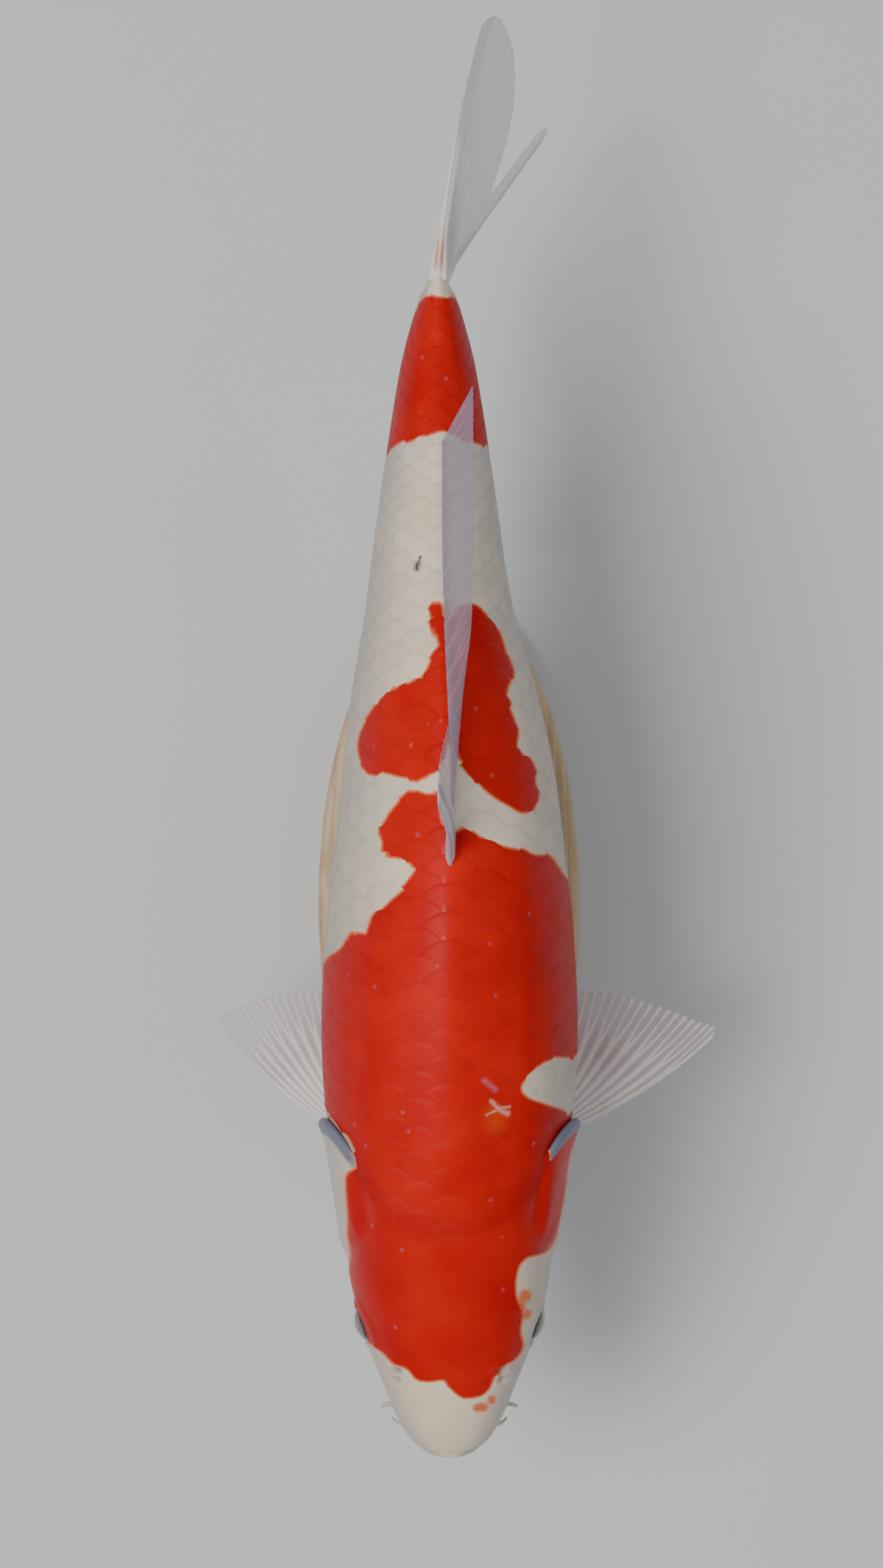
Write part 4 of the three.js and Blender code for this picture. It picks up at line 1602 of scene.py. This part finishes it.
    def paint(
        self, marks: Markings, at: Array, angle: Array, x: Array, y: Array, rng: Generator
    ) -> dict[str, Array]:
        """Colour attributes; a patch's edge is drawn a little towards the scales' own edges.

        Args:
            marks: the red markings.
            at: distances of all vertices, one row for each scale.
            angle: their angles.
            x: places across the scale.
            y: places towards the free edge.
            rng: for the tone of each scale.

        Returns:
            The attributes by name.
        """
        share = self.body.share(at, angle)
        depth = marks.depth(self.body, at, share)
        middle = np.argmin(np.abs(x[0]) + np.abs(y[0] - 0.55))
        drawn = np.clip(depth[:, middle : middle + 1], -0.7, 0.7)
        one_each = (at.shape[0], 1)
        rim = ease(y**2 + 0.9 * x**2, 0.6, 1.0) * (y > 0)
        nape = self.cover.nape_shade(at, np.minimum(np.abs(angle), 2 * PI - np.abs(angle)))
        return {
            "hi": depth + drawn,
            # painted shade on the flanks and at the nape, with a faint darker edge and a random
            # tone for each scale
            "shade": 0.15 * rim + 0.06 * rng.random(one_each) + flank_painted_shade(share) + nape,
            "tone": rng.normal(0, self.tones, one_each) + 0.5 * (y - 0.5),
            "grow": np.hypot(x, y) * np.ones(one_each),
        }


# ---- fins
def corner(distance: Array, sharpness: float, loss: float) -> Array:
    """The share of a ray's length that is left where a fin's corner is rounded off."""
    return 1 - loss * np.maximum(1 - sharpness * distance, 0) ** 2


@dataclass
class Fin:
    """A closed fin: branching rays stand proud of a thin web on both faces.

    Over the first share of their length, called flesh, the rays are broad flat bands with only
    narrow grooves between them. Places and widths below are shares of the fin or of a ray's cell.
    """

    body: Body
    name: str
    node: tuple[str, ...]
    # rays, columns of vertices to a ray, and rows from root to margin
    rays: int = 7
    per_ray: int = 16
    steps: int = 44
    # thickness of root, web, rays and leading rays, and the share left at the margin
    root: float = 3.2
    web: float = 0.28
    ridge: float = 0.5
    stout: float = 0.9
    thinning: float = 0.45
    # extra thickness of the front edge
    lead: float = 0
    lead_shape: Pair = (0.03, 0.08)
    notch: float = 0.02
    ragged: float = 0.4
    ripple: float = 0.8
    opaque: Pair = (0.2, 0.7)
    flesh: float = 0.3
    root_end: float = 0.16
    # where rays part, and the stretch over which the parting grows
    splits: Pair = (0.26, 0.6)
    parting: Pair = (0.36, 0.32)
    broad: float = 0.19
    narrow: float = 0.055
    taper: Pair = (0.15, 0.85)
    contrast: float = 1

    def place(self, at: Array, x: Array, z: Array) -> Array:
        """Points from distance behind the snout, sideways place and height over the axis."""
        x, y, z = np.broadcast_arrays(x, self.body.SNOUT + at, self.body.AXIS + z)
        return np.stack([x, y, z], axis=-1)

    def sheet(self, u: Array, v: Array) -> Array:
        """The fin's middle surface, from its front edge (u 0) back and from root (v 0) out."""
        raise NotImplementedError

    def marks(self, u: Array, v: Array) -> Array:
        """Strength of red on the fin; none unless a fin says so."""
        return np.zeros(u.shape)

    def spine(self, u: Array, v: Array) -> Array:
        """Extra thickness and whiteness of leading rays."""
        return bell(u, 0.0, 0.02)

    def branches(self, u: Array, v: Array) -> Array:
        """Ridges of the rays, each parting into two and then into four on the way out.

        In the cell of one ray, a branch sits at plus or minus a quarter and plus or minus an
        eighth of the cell, each offset growing from 0 along the ray.

        Args:
            u, v: places across the fin and along the rays.

        Returns:
            Ridge heights from 0 to 1.
        """
        cell = u * self.rays
        c = cell - np.floor(cell) - 0.5
        wide, fine = (
            share * ease(v, start, start + run)
            for share, start, run in zip((0.25, 0.125), self.splits, self.parting)
        )
        width = mix(self.broad, self.narrow, ease(v, *self.taper))
        signs = ((1, 1), (1, -1), (-1, 1), (-1, -1))
        thin = np.max([bell(c, a * wide + b * fine, width) for a, b in signs], axis=0)
        band = 1 - bell(np.abs(c), 0.5, 0.13)
        return mix(band, thin, ease(v, self.flesh - 0.14, self.flesh + 0.14))

    def build(self, finish: Material, seed: int) -> Piece:
        """Two faces offset from the sheet along its normal by half the local thickness.

        Args:
            finish: the fin's material.
            seed: for the ragged margin and the ripple.

        Returns:
            The fin.
        """
        rng = np.random.default_rng(seed)
        place = np.linspace(0, 1, self.rays * self.per_ray + 1)
        u, v = np.meshgrid(place, np.linspace(0, 1, self.steps) ** 0.9, indexing="ij")
        knots = np.arange(2 * self.rays + 1)
        ragged = np.interp(place * knots[-1], knots, rng.normal(0, self.ragged, len(knots)))
        between = 1 - self.branches(u, np.ones(u.shape))[:, :1]
        short = self.notch * (0.6 * between + np.abs(ragged[:, None]))
        reach = v * (1 - short * v**3)
        step = 1e-3
        left, right = np.maximum(u - step, 0), np.minimum(u + step, 1)
        across = self.sheet(right, reach) - self.sheet(left, reach)
        low = np.maximum(reach, 0.01)
        along = self.sheet(u, low + step) - self.sheet(u, low - step)
        normal = np.cross(across, along)
        normal /= np.maximum(np.linalg.norm(normal, axis=-1, keepdims=True), 1e-12)
        ray = self.branches(u, v)
        stiff = self.spine(u, v)
        border = ease(np.minimum(u, 1 - u), 0.0, 0.03)
        left_over = mix(1.0, self.thinning, v)
        high = (0.5 * self.web + self.ridge * ray) * left_over
        high = high + self.stout * stiff * mix(1.0, 0.3, v)
        root = 0.5 * self.root * (1 - ease(v, 0.0, self.root_end)) * mix(0.35, 1.0, border)
        half = np.maximum(high, root)
        half = half + 0.5 * self.lead * bell(u, *self.lead_shape) * (1 - 0.75 * v)
        half = half * mix(0.4, 1.0, border) * mix(1.0, 0.5, ease(v, 0.97, 1.0))
        wave = np.sin(2 * PI * (1.6 * u + 0.35 * v + rng.random())) * ease(v, 0.25, 1.0)
        p = self.sheet(u, reach) + normal * (self.ripple * wave)[..., None]
        offset = normal * half[..., None]
        values = {
            "ray": np.clip(np.maximum(self.contrast * ray, stiff), 0, 1),
            "clear": ease(v, *self.opaque) * (1 - 0.9 * stiff),
            "flush": self.marks(u, v),
        }
        return plate_mesh(self.name, p + offset, p - offset, values, finish)


@dataclass
class TailFin(Fin):
    """Both lobes and the fork between them, swinging to the left."""

    rays: int = 19
    steps: int = 72
    root: float = 4.5
    ridge: float = 0.15
    lead: float = 3
    notch: float = 0.006
    opaque: Pair = (0.1, 0.5)
    flesh: float = 0.12
    root_end: float = 0.3
    splits: Pair = (0.3, 2)
    contrast: float = 0.55
    # lengths at the fork and at the lobes' tips, and degrees up, down and sideways
    fork: float = 47
    lobe: float = 119
    rise: float = 28
    droop: float = 35
    swing_top: float = 11
    swing_fork: float = 32
    top: float = 32.5
    bottom: float = -30.5
    sink: float = 4

    def sheet(self, u: Array, v: Array) -> Array:
        """Rays fan out from the stalk, longest at the lobes' tips, and bend sideways.

        Args:
            u, v: places across the fin and along the rays.

        Returns:
            Points in millimetres.
        """
        spread = np.abs(2 * u - 1)
        length = mix(self.fork, self.lobe, ease(spread, 0, 1)) * corner(1 - spread, 8, 0.05)
        pitch = np.radians(mix(self.rise, -self.droop, u))
        above = mix(self.swing_fork, self.swing_top, spread**1.4)
        below = self.swing_fork - 1.5 * np.sin(PI * spread)
        swing = np.radians(np.where(u < 0.5, above, below))
        level = (length * np.cos(pitch) + self.sink) * v
        bend = np.maximum(v, 1e-6) ** mix(1.5, 1.15, np.minimum(2 * u, 1))
        drift = self.body.midline(np.array(self.body.LENGTH))
        return self.place(
            self.body.LENGTH - self.sink + level * np.cos(swing),
            drift + length * np.cos(pitch) * np.sin(swing) * bend,
            mix(self.top, self.bottom, u) + length * np.sin(pitch) * v,
        )

    def spine(self, u: Array, v: Array) -> Array:
        """A pale bundle of leading rays that narrows outwards, and a lesser one below."""
        bundle = 1 - ease(u, mix(0.06, 0.02, v), mix(0.1, 0.05, v))
        return bundle * (1 - 0.75 * ease(v, 0.4, 0.75)) + 0.6 * bell(u, 1.0, 0.03)

    def marks(self, u: Array, v: Array) -> Array:
        """Orange streaks between the rays at the root, and a line beside the leading bundle.

        Args:
            u, v: places across the fin and along the rays.

        Returns:
            Strengths from 0 to 1.
        """
        near = plateau(v, (0.02, 0.08, 0.1, 0.25))
        streaks = near * (bell(u, 0.008, 0.009) + bell(u, 0.11, 0.025) + bell(u, 0.18, 0.01))
        line = bell(u, mix(0.1, 0.055, v), 0.014) * (1 - ease(v, 0.45, 0.7))
        return np.clip(0.9 * streaks + 0.5 * line, 0, 1)


@dataclass
class DorsalFin(Fin):
    """The long back fin, leaning to the left, led by two stout rays."""

    rays: int = 17
    per_ray: int = 18
    root: float = 2.2
    ridge: float = 0.12
    lead: float = 3.2
    opaque: Pair = (0, 0.3)
    flesh: float = 0
    contrast: float = 0.3
    # root line from start to end, and heights at the front, the middle and the end
    start: float = 267
    end: float = 450
    tall: float = 53
    middle: float = 33
    last: float = 34
    sink: float = 4
    billow: float = 3.4
    # degrees of slope and of lean at the front and at the rear
    slope: Pair = (58, 36)
    lean: Pair = (-5, 42)

    def sheet(self, u: Array, v: Array) -> Array:
        """Rays rise from the back, billow, lean over more towards the rear and slope back.

        Args:
            u, v: places across the fin and along the rays.

        Returns:
            Points in millimetres.
        """
        at = mix(self.start, self.end, u)
        front = mix(self.tall, self.middle, ease(u, 0, 0.6))
        length = np.where(u < 0.9, front, mix(self.middle, self.last, (u - 0.9) / 0.1))
        pitch = np.radians(mix(*self.slope, u**0.8))
        lean = np.radians(mix(*self.lean, ease(u, 0.05, 0.75)))
        run = length * v
        up = run * np.sin(pitch)
        swell = self.billow * np.sin(PI * v) * bell(u, 0.2, 0.22)
        return self.place(
            at + run * np.cos(pitch),
            self.body.midline(at) + 1.1 * up * np.sin(lean) + swell,
            self.body.back(at) - self.sink + (up + self.sink * v) * np.cos(lean),
        )

    def spine(self, u: Array, v: Array) -> Array:
        """Two stout rays at the front."""
        return bell(u, 0.012, 0.016) + 0.8 * bell(u, 0.055, 0.014)


@dataclass
class AnalFin(Fin):
    """The short fin under the tail stalk."""

    steps: int = 40
    root: float = 3
    start: float = 396
    end: float = 428
    tall: float = 50
    low: float = 22
    sink: float = 4
    slope: Pair = (58, 40)

    def sheet(self, u: Array, v: Array) -> Array:
        """Rays drop from the belly and slope back.

        Args:
            u, v: places across the fin and along the rays.

        Returns:
            Points in millimetres.
        """
        at = mix(self.start, self.end, u)
        run = mix(self.tall, self.low, u**0.8) * corner(u, 5, 0.12) * v
        pitch = np.radians(mix(*self.slope, u))
        return self.place(
            at + run * np.cos(pitch),
            self.body.midline(at) - 0.06 * run,
            self.body.belly(at) + self.sink - (run + self.sink * v) * np.sin(pitch),
        )


@dataclass
class PectoralFin(Fin):
    """A broad fan behind the gill cover."""

    rays: int = 10
    per_ray: int = 24
    steps: int = 60
    root: float = 4
    ridge: float = 0.3
    notch: float = 0.008
    opaque: Pair = (0.35, 0.85)
    flesh: float = -0.2
    splits: Pair = (0.5, 0.85)
    broad: float = 0.36
    taper: Pair = (0.25, 0.95)
    # degrees from sideways to backwards, and downwards, for the first ray and for the last
    swing: float = 17
    last_swing: float = 84
    drop: float = 39
    last_drop: float = 22
    at: float = 143.5
    out: float = 49.5
    down: float = -33
    root_run: float = 10
    long: float = 95
    short: float = 53
    curl: float = 0.5
    side: float = 1

    def sheet(self, u: Array, v: Array) -> Array:
        """Rays fan from sideways at the front to backwards at the rear, and bow back.

        Args:
            u, v: places across the fin and along the rays.

        Returns:
            Points in millimetres.
        """
        swing = np.radians(mix(self.swing, self.last_swing, u**1.45))
        drop = np.radians(mix(self.drop, self.last_drop, u))
        run = mix(self.long, self.short, u**0.85) * corner(u, 9, 0.09) * v
        bow = self.curl * (1 - 0.6 * u) * run**2 / (2 * self.long)
        out = run * np.cos(swing) - bow * np.sin(swing)
        back = run * np.sin(swing) + bow * np.cos(swing)
        return self.place(
            self.at + self.root_run * u + back * np.cos(drop / 2),
            self.side * (self.out - 3 * u + out * np.cos(drop)),
            self.down - 9 * u - run * np.sin(drop),
        )


@dataclass
class PelvicFin(Fin):
    """A small fan under the belly."""

    rays: int = 9
    flesh: float = 0.4
    # degrees out and down, for the first ray and for the last
    splay: Pair = (30, 4)
    drop: Pair = (32, 22)
    side: float = 1
    at: float = 287
    out: float = 16
    down: float = -72
    long: float = 62
    short: float = 36

    def sheet(self, u: Array, v: Array) -> Array:
        """Rays trail back, out and down.

        Args:
            u, v: places across the fin and along the rays.

        Returns:
            Points in millimetres.
        """
        splay = np.radians(mix(*self.splay, u))
        drop = np.radians(mix(*self.drop, u))
        run = mix(self.long, self.short, u**0.8) * corner(u, 5, 0.12) * v
        return self.place(
            self.at + 9 * u + run * np.cos(splay) * np.cos(drop),
            self.side * (self.out - 7 * u + run * np.sin(splay)),
            self.down - run * np.sin(drop) * (1 - 0.25 * v),
        )


# ---- eyes and feelers
@dataclass
class Eye:
    """A flattened ball set in the side of the head, looking out and a little up."""

    body: Body
    flank: Flank
    at: float = 61.5
    height: float = 5
    radius: float = 8.2
    bulge: float = 5
    sunk: float = 2
    rings: int = 40
    around: int = 64

    def build(self, finish: Material) -> Piece:
        """An ellipsoid of turns about the skin's normal: rings of radius times sine of the polar
        angle, raised by the bulge times its cosine.

        Args:
            finish: the eye's material.

        Returns:
            The eye.
        """
        angles = np.linspace(0.2, PI / 2, 200)
        heights = self.body.base(np.full(200, self.at), angles)[:, 2] - self.body.AXIS
        angle = self.flank.value * np.interp(-self.height, -heights, angles)
        centre = self.body.base(np.array(self.at), np.array(angle))
        out = self.body.outward(np.array(self.at), np.array(angle))
        centre = centre - out * self.sunk
        forward = np.array([0.0, 1.0, 0.0])
        forward = forward - out * (forward @ out)
        forward /= np.linalg.norm(forward)
        polar = (np.arange(1, self.rings) / self.rings * PI)[:, None]
        turn = round_angles(self.around)[:, None]
        circle = forward * np.cos(turn) + np.cross(out, forward) * np.sin(turn)
        rows = circle * (np.sin(polar) * self.radius)[..., None]
        rows = centre + rows + out * (np.cos(polar) * self.bulge)[..., None]
        radial = np.where(polar < PI / 2, np.sin(polar), 1.0) * np.ones(self.around)
        start, end = centre + out * self.bulge, centre - out * self.bulge
        name = f"eyeball_{self.flank.word}"
        return ring_mesh(name, rows, start, end, {"radial": radial}, finish)


@dataclass
class Barbel:
    """A soft feeler that tapers to a round tip."""

    body: Body
    name: str
    flank: Flank
    bend: tuple[tuple[float, float, float], ...]
    thick: float
    thin: float
    around: int = 18
    # the line starts inside the head and its tip begins to close at these shares
    start: float = -0.12
    tip: float = 0.9
    shade: float = 0.6

    def build(self, finish: Material) -> Piece:
        """Rings about a quadratic Bezier line, closing in on a round tip.

        Args:
            finish: the feeler's material.

        Returns:
            The feeler.
        """
        knots = np.array(self.bend) * [1, self.flank.value, 1]
        p = np.stack([knots[:, 1], self.body.SNOUT + knots[:, 0], self.body.AXIS + knots[:, 2]], 1)
        t = np.linspace(self.start, 1, 30)[:, None]
        line = (1 - t) ** 2 * p[0] + 2 * t * (1 - t) * p[1] + t**2 * p[2]
        run = 2 * (1 - t) * (p[1] - p[0]) + 2 * t * (p[2] - p[1])
        run /= np.linalg.norm(run, axis=1, keepdims=True)
        flat = np.cross(run, [0.0, 1.0, 0.0])
        flat /= np.linalg.norm(flat, axis=1, keepdims=True)
        tall = np.cross(flat, run)
        inward = np.maximum((t - self.tip) / (1.0001 - self.tip), 0)
        radius = mix(self.thick, self.thin, t) * np.sqrt(np.maximum(1 - inward**2, 0.02))
        turn = round_angles(self.around)[:, None]
        circle = flat[:, None] * np.cos(turn) + tall[:, None] * np.sin(turn)
        rows = line[:, None] + radius[:, None] * circle
        nothing = np.zeros(rows.shape[:2])
        values = {"hi": nothing - MARKINGS.most, "shade": nothing + self.shade}
        values = {**values, "tone": nothing, "grow": nothing}
        end = line[-1] + run[-1] * self.thin * 0.3
        return ring_mesh(self.name, rows, line[0] - run[0] * 0.3, end, values, finish)


# ---- stand
@dataclass
class Stand:
    """An oval wooden base with two steel rods that end in soft pads under the belly."""

    body: Body
    length: float = 300
    width: float = 128
    thickness: float = 14
    rod: float = 5
    collar: float = 13
    collar_height: float = 8
    pad: float = 15
    pad_below: float = 9
    pad_gap: float = 0.35
    # rings of the pad's top: radius and how far below the belly's line
    pad_top: tuple[Pair, ...] = ((15, 0.7), (14.6, 0.25), (13.8, 0), (10, 0), (5, 0))
    # rounding of the base's edges, below and above
    edges: Pair = (2, 3.5)
    around: int = 64
    base_around: int = 120
    places: tuple[tuple[str, float], ...] = (("front", 176), ("rear", 352))

    def belly(self, at: float) -> float:
        """Height of the belly's midline over the floor."""
        return float(self.body.underside(np.array(at), self.body.midline(np.array(at))))

    def turned(self, name: str, y: float, profile: Sequence[Pair], finish: Material) -> Piece:
        """A surface of revolution about an upright line.

        Args:
            name: the piece's name.
            y: where the line stands.
            profile: corners of (radius, height), the first and last on the line itself.
            finish: the material.

        Returns:
            The piece.
        """
        rows = np.stack([self.circle(y, radius, height) for radius, height in profile[1:-1]])
        start, end = (np.array([0, y, profile[k][1]]) for k in (0, -1))
        return ring_mesh(name, rows, start, end, {}, finish)

    def circle(self, y: float, radius: float, height: Array) -> Array:
        """Points once round an upright line that stands at y.

        Args:
            y: where the line stands.
            radius: the circle's radius.
            height: one height, or one for each point.

        Returns:
            The points.
        """
        turn = round_angles(self.around)
        height = np.broadcast_to(height, turn.shape)
        return np.stack([radius * np.cos(turn), y + radius * np.sin(turn), height], 1)

    @staticmethod
    def rounded(r: float, z: float, size: float, start: float, stop: float) -> list:
        """Points of a rounded edge: an arc of the given size between two angles in degrees."""
        turn = np.radians(np.linspace(start, stop, 7))
        return [(r + size * math.cos(a), z + size * math.sin(a)) for a in turn]

    def base(self, finish: Material) -> Piece:
        """The oval base: rings of an ellipse with rounded edges above and below.

        Args:
            finish: the wood.

        Returns:
            The base.
        """
        below, above = self.edges
        edge = self.rounded(-below, below, below, -90, 0)
        edge += self.rounded(-above, self.thickness - above, above, 0, 90)
        turn = round_angles(self.base_around)
        outward = np.stack([np.cos(turn), np.sin(turn)], 1)
        size = np.array([self.width / 2, self.length / 2])
        inner = [outward * size * share for share in (0.35, 0.7)]
        flat = [*inner, *(outward * (size + inset) for inset, _ in edge), *inner[::-1]]
        heights = [0, 0, *(height for _, height in edge), self.thickness, self.thickness]
        rows = np.stack([np.insert(ring, 2, z, axis=1) for ring, z in zip(flat, heights)])
        start, end = np.zeros(3), np.array([0, 0, self.thickness])
        return ring_mesh("stand_oval_base", rows, start, end, {}, finish)

    def cushion(self, name: str, at: float, finish: Material) -> Piece:
        """A round pad whose top follows the belly above it.

        Args:
            name: the piece's name.
            at: the pad's distance behind the snout.
            finish: the pad's material.

        Returns:
            The pad.
        """
        y, belly = self.body.SNOUT + at, self.belly(at)
        foot = belly - self.pad_below
        under = [(self.rod + 3, foot), (self.rod + 5, foot + 1.2), (self.pad - 0.6, belly - 3)]
        under += [(self.pad, belly - 1.6)]
        rows = [self.circle(y, radius, height) for radius, height in under]
        for radius, drop in self.pad_top:
            x, along, _ = self.circle(at, radius, 0.0).T
            top = self.body.underside(along, x) - self.pad_gap - drop
            rows.append(self.circle(y, radius, top))
        start, end = np.array([0, y, foot]), np.array([0, y, belly - self.pad_gap])
        return ring_mesh(name, np.stack(rows), start, end, {}, finish)

    def build(
        self, wood: Material, steel: Material, felt: Material
    ) -> list[tuple[Piece, Slot, str]]:
        """Builds every part of the stand.

        Args:
            wood: the base's material.
            steel: the rods' and collars' material.
            felt: the pads' material.

        Returns:
            For each part the piece, its slot and the solid it replaces.
        """
        made = [(self.base(wood), Slot.WOOD, "stand_base")]
        floor = self.thickness
        for name, at in self.places:
            y, r = self.body.SNOUT + at, self.rod
            foot = self.belly(at) - self.pad_below
            rod = [(0, floor), (r, floor), (r, mix(floor, foot, 0.5)), (r, foot), (0, foot)]
            post = self.turned(f"stand_post_{name}", y, rod, steel)
            made.append((post, Slot.STEEL, f"stand_rod_{name}"))
            top = floor + self.collar_height
            collar = [(0, floor + 0.02), (self.collar, floor + 0.02), (self.collar, floor + 2.2)]
            collar += [(self.collar - 0.7, floor + 3.0), (r + 4.0, top - 1.6), (r + 3.2, top - 0.4)]
            collar += [(r + 2.4, top), (r + 0.3, top), (0, top)]
            ring = self.turned(f"stand_ring_{name}", y, collar, steel)
            made.append((ring, Slot.STEEL, f"stand_collar_{name}"))
            cushion = self.cushion(f"stand_cushion_{name}", at, felt)
            made.append((cushion, Slot.PAD, f"stand_pad_{name}"))
        return made


# ---- studio
@dataclass
class Studio:
    """A plain pale floor, soft lights and the camera over the fish."""

    camera_at: tuple[float, float, float] = (-0.0036, 0.0588, 1.829)
    lens: float = 85
    key_power: float = 33
    fill_power: float = 6
    sky: float = 0.42

    def floor(self, finish: Material) -> Piece:
        """A flat square under the stand."""
        corner = np.array([[-1, -1], [1, -1], [1, 1], [-1, 1]]) * 6000.0
        points = np.concatenate([corner, np.zeros((4, 1))], 1)
        return finish_mesh("floor", points, [np.array([[0, 1, 2, 3]])], None, {}, finish)

    def lamp(self, name: str, place: Colour, power: float, size: float, tint: Colour) -> None:
        """A square soft light turned towards the fish.

        Args:
            name: the light's name.
            place: where it hangs, in metres.
            power: its power in watts.
            size: its side in metres.
            tint: its colour.
        """
        data = bpy.data.lights.new(name, "AREA")
        data.energy, data.size, data.color = power, size, tint
        lamp = bpy.data.objects.new(name, data)
        lamp.location = place
        aim = np.array([0, 0.05, 0.15]) - np.array(place)
        flat = math.hypot(aim[0], aim[1])
        lamp.rotation_euler = (math.atan2(flat, -aim[2]), 0, math.atan2(-aim[0], aim[1]))
        bpy.context.scene.collection.objects.link(lamp)

    def build(self, finish: Material) -> Piece:
        """Sets up floor, lights, sky and camera.

        Args:
            finish: the floor's material.

        Returns:
            The floor.
        """
        scene = bpy.context.scene
        data = bpy.data.cameras.new("camera")
        data.lens, data.sensor_width = self.lens, 36.0
        data.clip_start, data.clip_end = 0.05, 50.0
        camera = bpy.data.objects.new("camera", data)
        camera.location = self.camera_at
        scene.collection.objects.link(camera)
        scene.camera = camera
        self.lamp("key", (-0.85, -0.15, 1.95), self.key_power, 0.9, (1.0, 0.985, 0.96))
        self.lamp("fill", (1.5, 0.5, 1.3), self.fill_power, 1.6, (0.94, 0.97, 1.0))
        world = bpy.data.worlds.new("sky")
        world.use_nodes = True
        world.node_tree.nodes["Background"].inputs[0].default_value = (0.93, 0.96, 1.0, 1)
        world.node_tree.nodes["Background"].inputs[1].default_value = self.sky
        scene.world = world
        return self.floor(finish)


# ---- assembly
def settle(piece: Piece, slot: Slot, *nodes: str) -> None:
    """Ties a piece to the body, hides the solids it replaces and reports it.

    Args:
        piece: the piece.
        slot: its material slot; not used.
        nodes: the solids it replaces.
    """
    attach(piece, "root")
    if nodes:
        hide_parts(*nodes)
    faces = piece.data.polygons
    triangles = int(sum(face.loop_total - 2 for face in faces))
    LOG.info("%s: %d faces, %d triangles", piece.name, len(faces), triangles)


def main() -> None:
    """Builds every class in order and dresses the frame."""
    logging.basicConfig(level=logging.INFO, format="%(message)s")
    body, cover = Body(), GillCover()
    mottle = mottle_group()
    pigment = pigment_group(mottle, Flecks().build())
    wet = SkinFinish("wet_skin", 0.36, coat=0.06, coat_roughness=0.15, ior=1.2, soft=0.08)
    shell = SkinFinish("scale", 0.44, ior=1.2, soft=0.05, rings=0.06)
    skin_look = wet.build(mottle, pigment)
    scale_look = shell.build(mottle, pigment)
    fin_look = FinFinish("fin", 0.36, coat=0.15).build(mottle)
    lilac = {"ray": (0.56, 0.51, 0.56), "web": (0.31, 0.26, 0.35), "cloud": (0.38, 0.32, 0.42)}
    lilac_look = FinFinish("back_fin", 0.4, coat=0.1, clear=0.6, **lilac).build(mottle)
    eye_look = EyeFinish("eye", 0.12, coat=1.0, coat_roughness=0.03).build()
    wood = WoodFinish("oiled_wood", 0.45).build(mottle)
    steel = SteelFinish("brushed_steel", 0.3, metallic=1.0).build()
    grey = {"low": (0.42, 0.40, 0.37), "high": (0.50, 0.48, 0.45)}
    felt = FlatFinish("felt", 0.9, size=1.6, depth=0.0004, **grey).build(mottle)
    pale = {"low": (0.60, 0.61, 0.62), "high": (0.63, 0.64, 0.65)}
    backdrop = FlatFinish("floor", 0.85, size=0.05, depth=0.00002, **pale).build(mottle)

    skin = Skin(body, cover).build(MARKINGS, skin_look)
    trunk = ("head", "trunk_front", "trunk_rear", "tail_stalk")
    settle(skin, Slot.SKIN, *trunk, "gill_cover_left", "gill_cover_right")
    scales = Scales(body, cover)
    for seed, flank in zip((11, 12), Flank):
        settle(scales.build(flank, MARKINGS, scale_look, seed), Slot.SKIN)

    fins = [
        TailFin(body, "tail_fin", ("tail_fin_upper", "tail_fin_lower")),
        DorsalFin(body, "dorsal_fin_rays", ("dorsal_fin",)),
        AnalFin(body, "anal_fin_rays", ("anal_fin",)),
    ]
    for flank, swing, drop in ((Flank.LEFT, 17.0, 18.0), (Flank.RIGHT, 21.0, 39.0)):
        side, word = flank.value, flank.word
        solid = (f"pectoral_fin_{word}",)
        lie = {"side": side, "swing": swing, "drop": drop}
        fins.append(PectoralFin(body, f"pectoral_fin_rays_{word}", solid, **lie))
        fins.append(PelvicFin(body, f"pelvic_fin_rays_{word}", (f"pelvic_fin_{word}",), side=side))
    for number, fin in enumerate(fins):
        look = lilac_look if isinstance(fin, DorsalFin) else fin_look
        settle(fin.build(look, 40 + number), Slot.FIN, *fin.node)

    feelers = {
        "upper": (((14, 15, -11), (13, 24, -11), (16, 26, -20)), 1.1, 0.5),
        "lower": (((23, 19, -19), (22, 31, -19), (18, 31, -35)), 1.5, 0.6),
    }
    for flank in Flank:
        settle(Eye(body, flank).build(eye_look), Slot.EYE, f"eye_{flank.word}")
        for row, (bend, thick, thin) in feelers.items():
            feeler = Barbel(body, f"feeler_{row}_{flank.word}", flank, bend, thick, thin)
            settle(feeler.build(skin_look), Slot.BARBEL, f"barbel_{row}_{flank.word}")

    for piece, slot, node in Stand(body).build(wood, steel, felt):
        settle(piece, slot, node)

    Studio().build(backdrop)


if __name__ == "__main__":
    main()
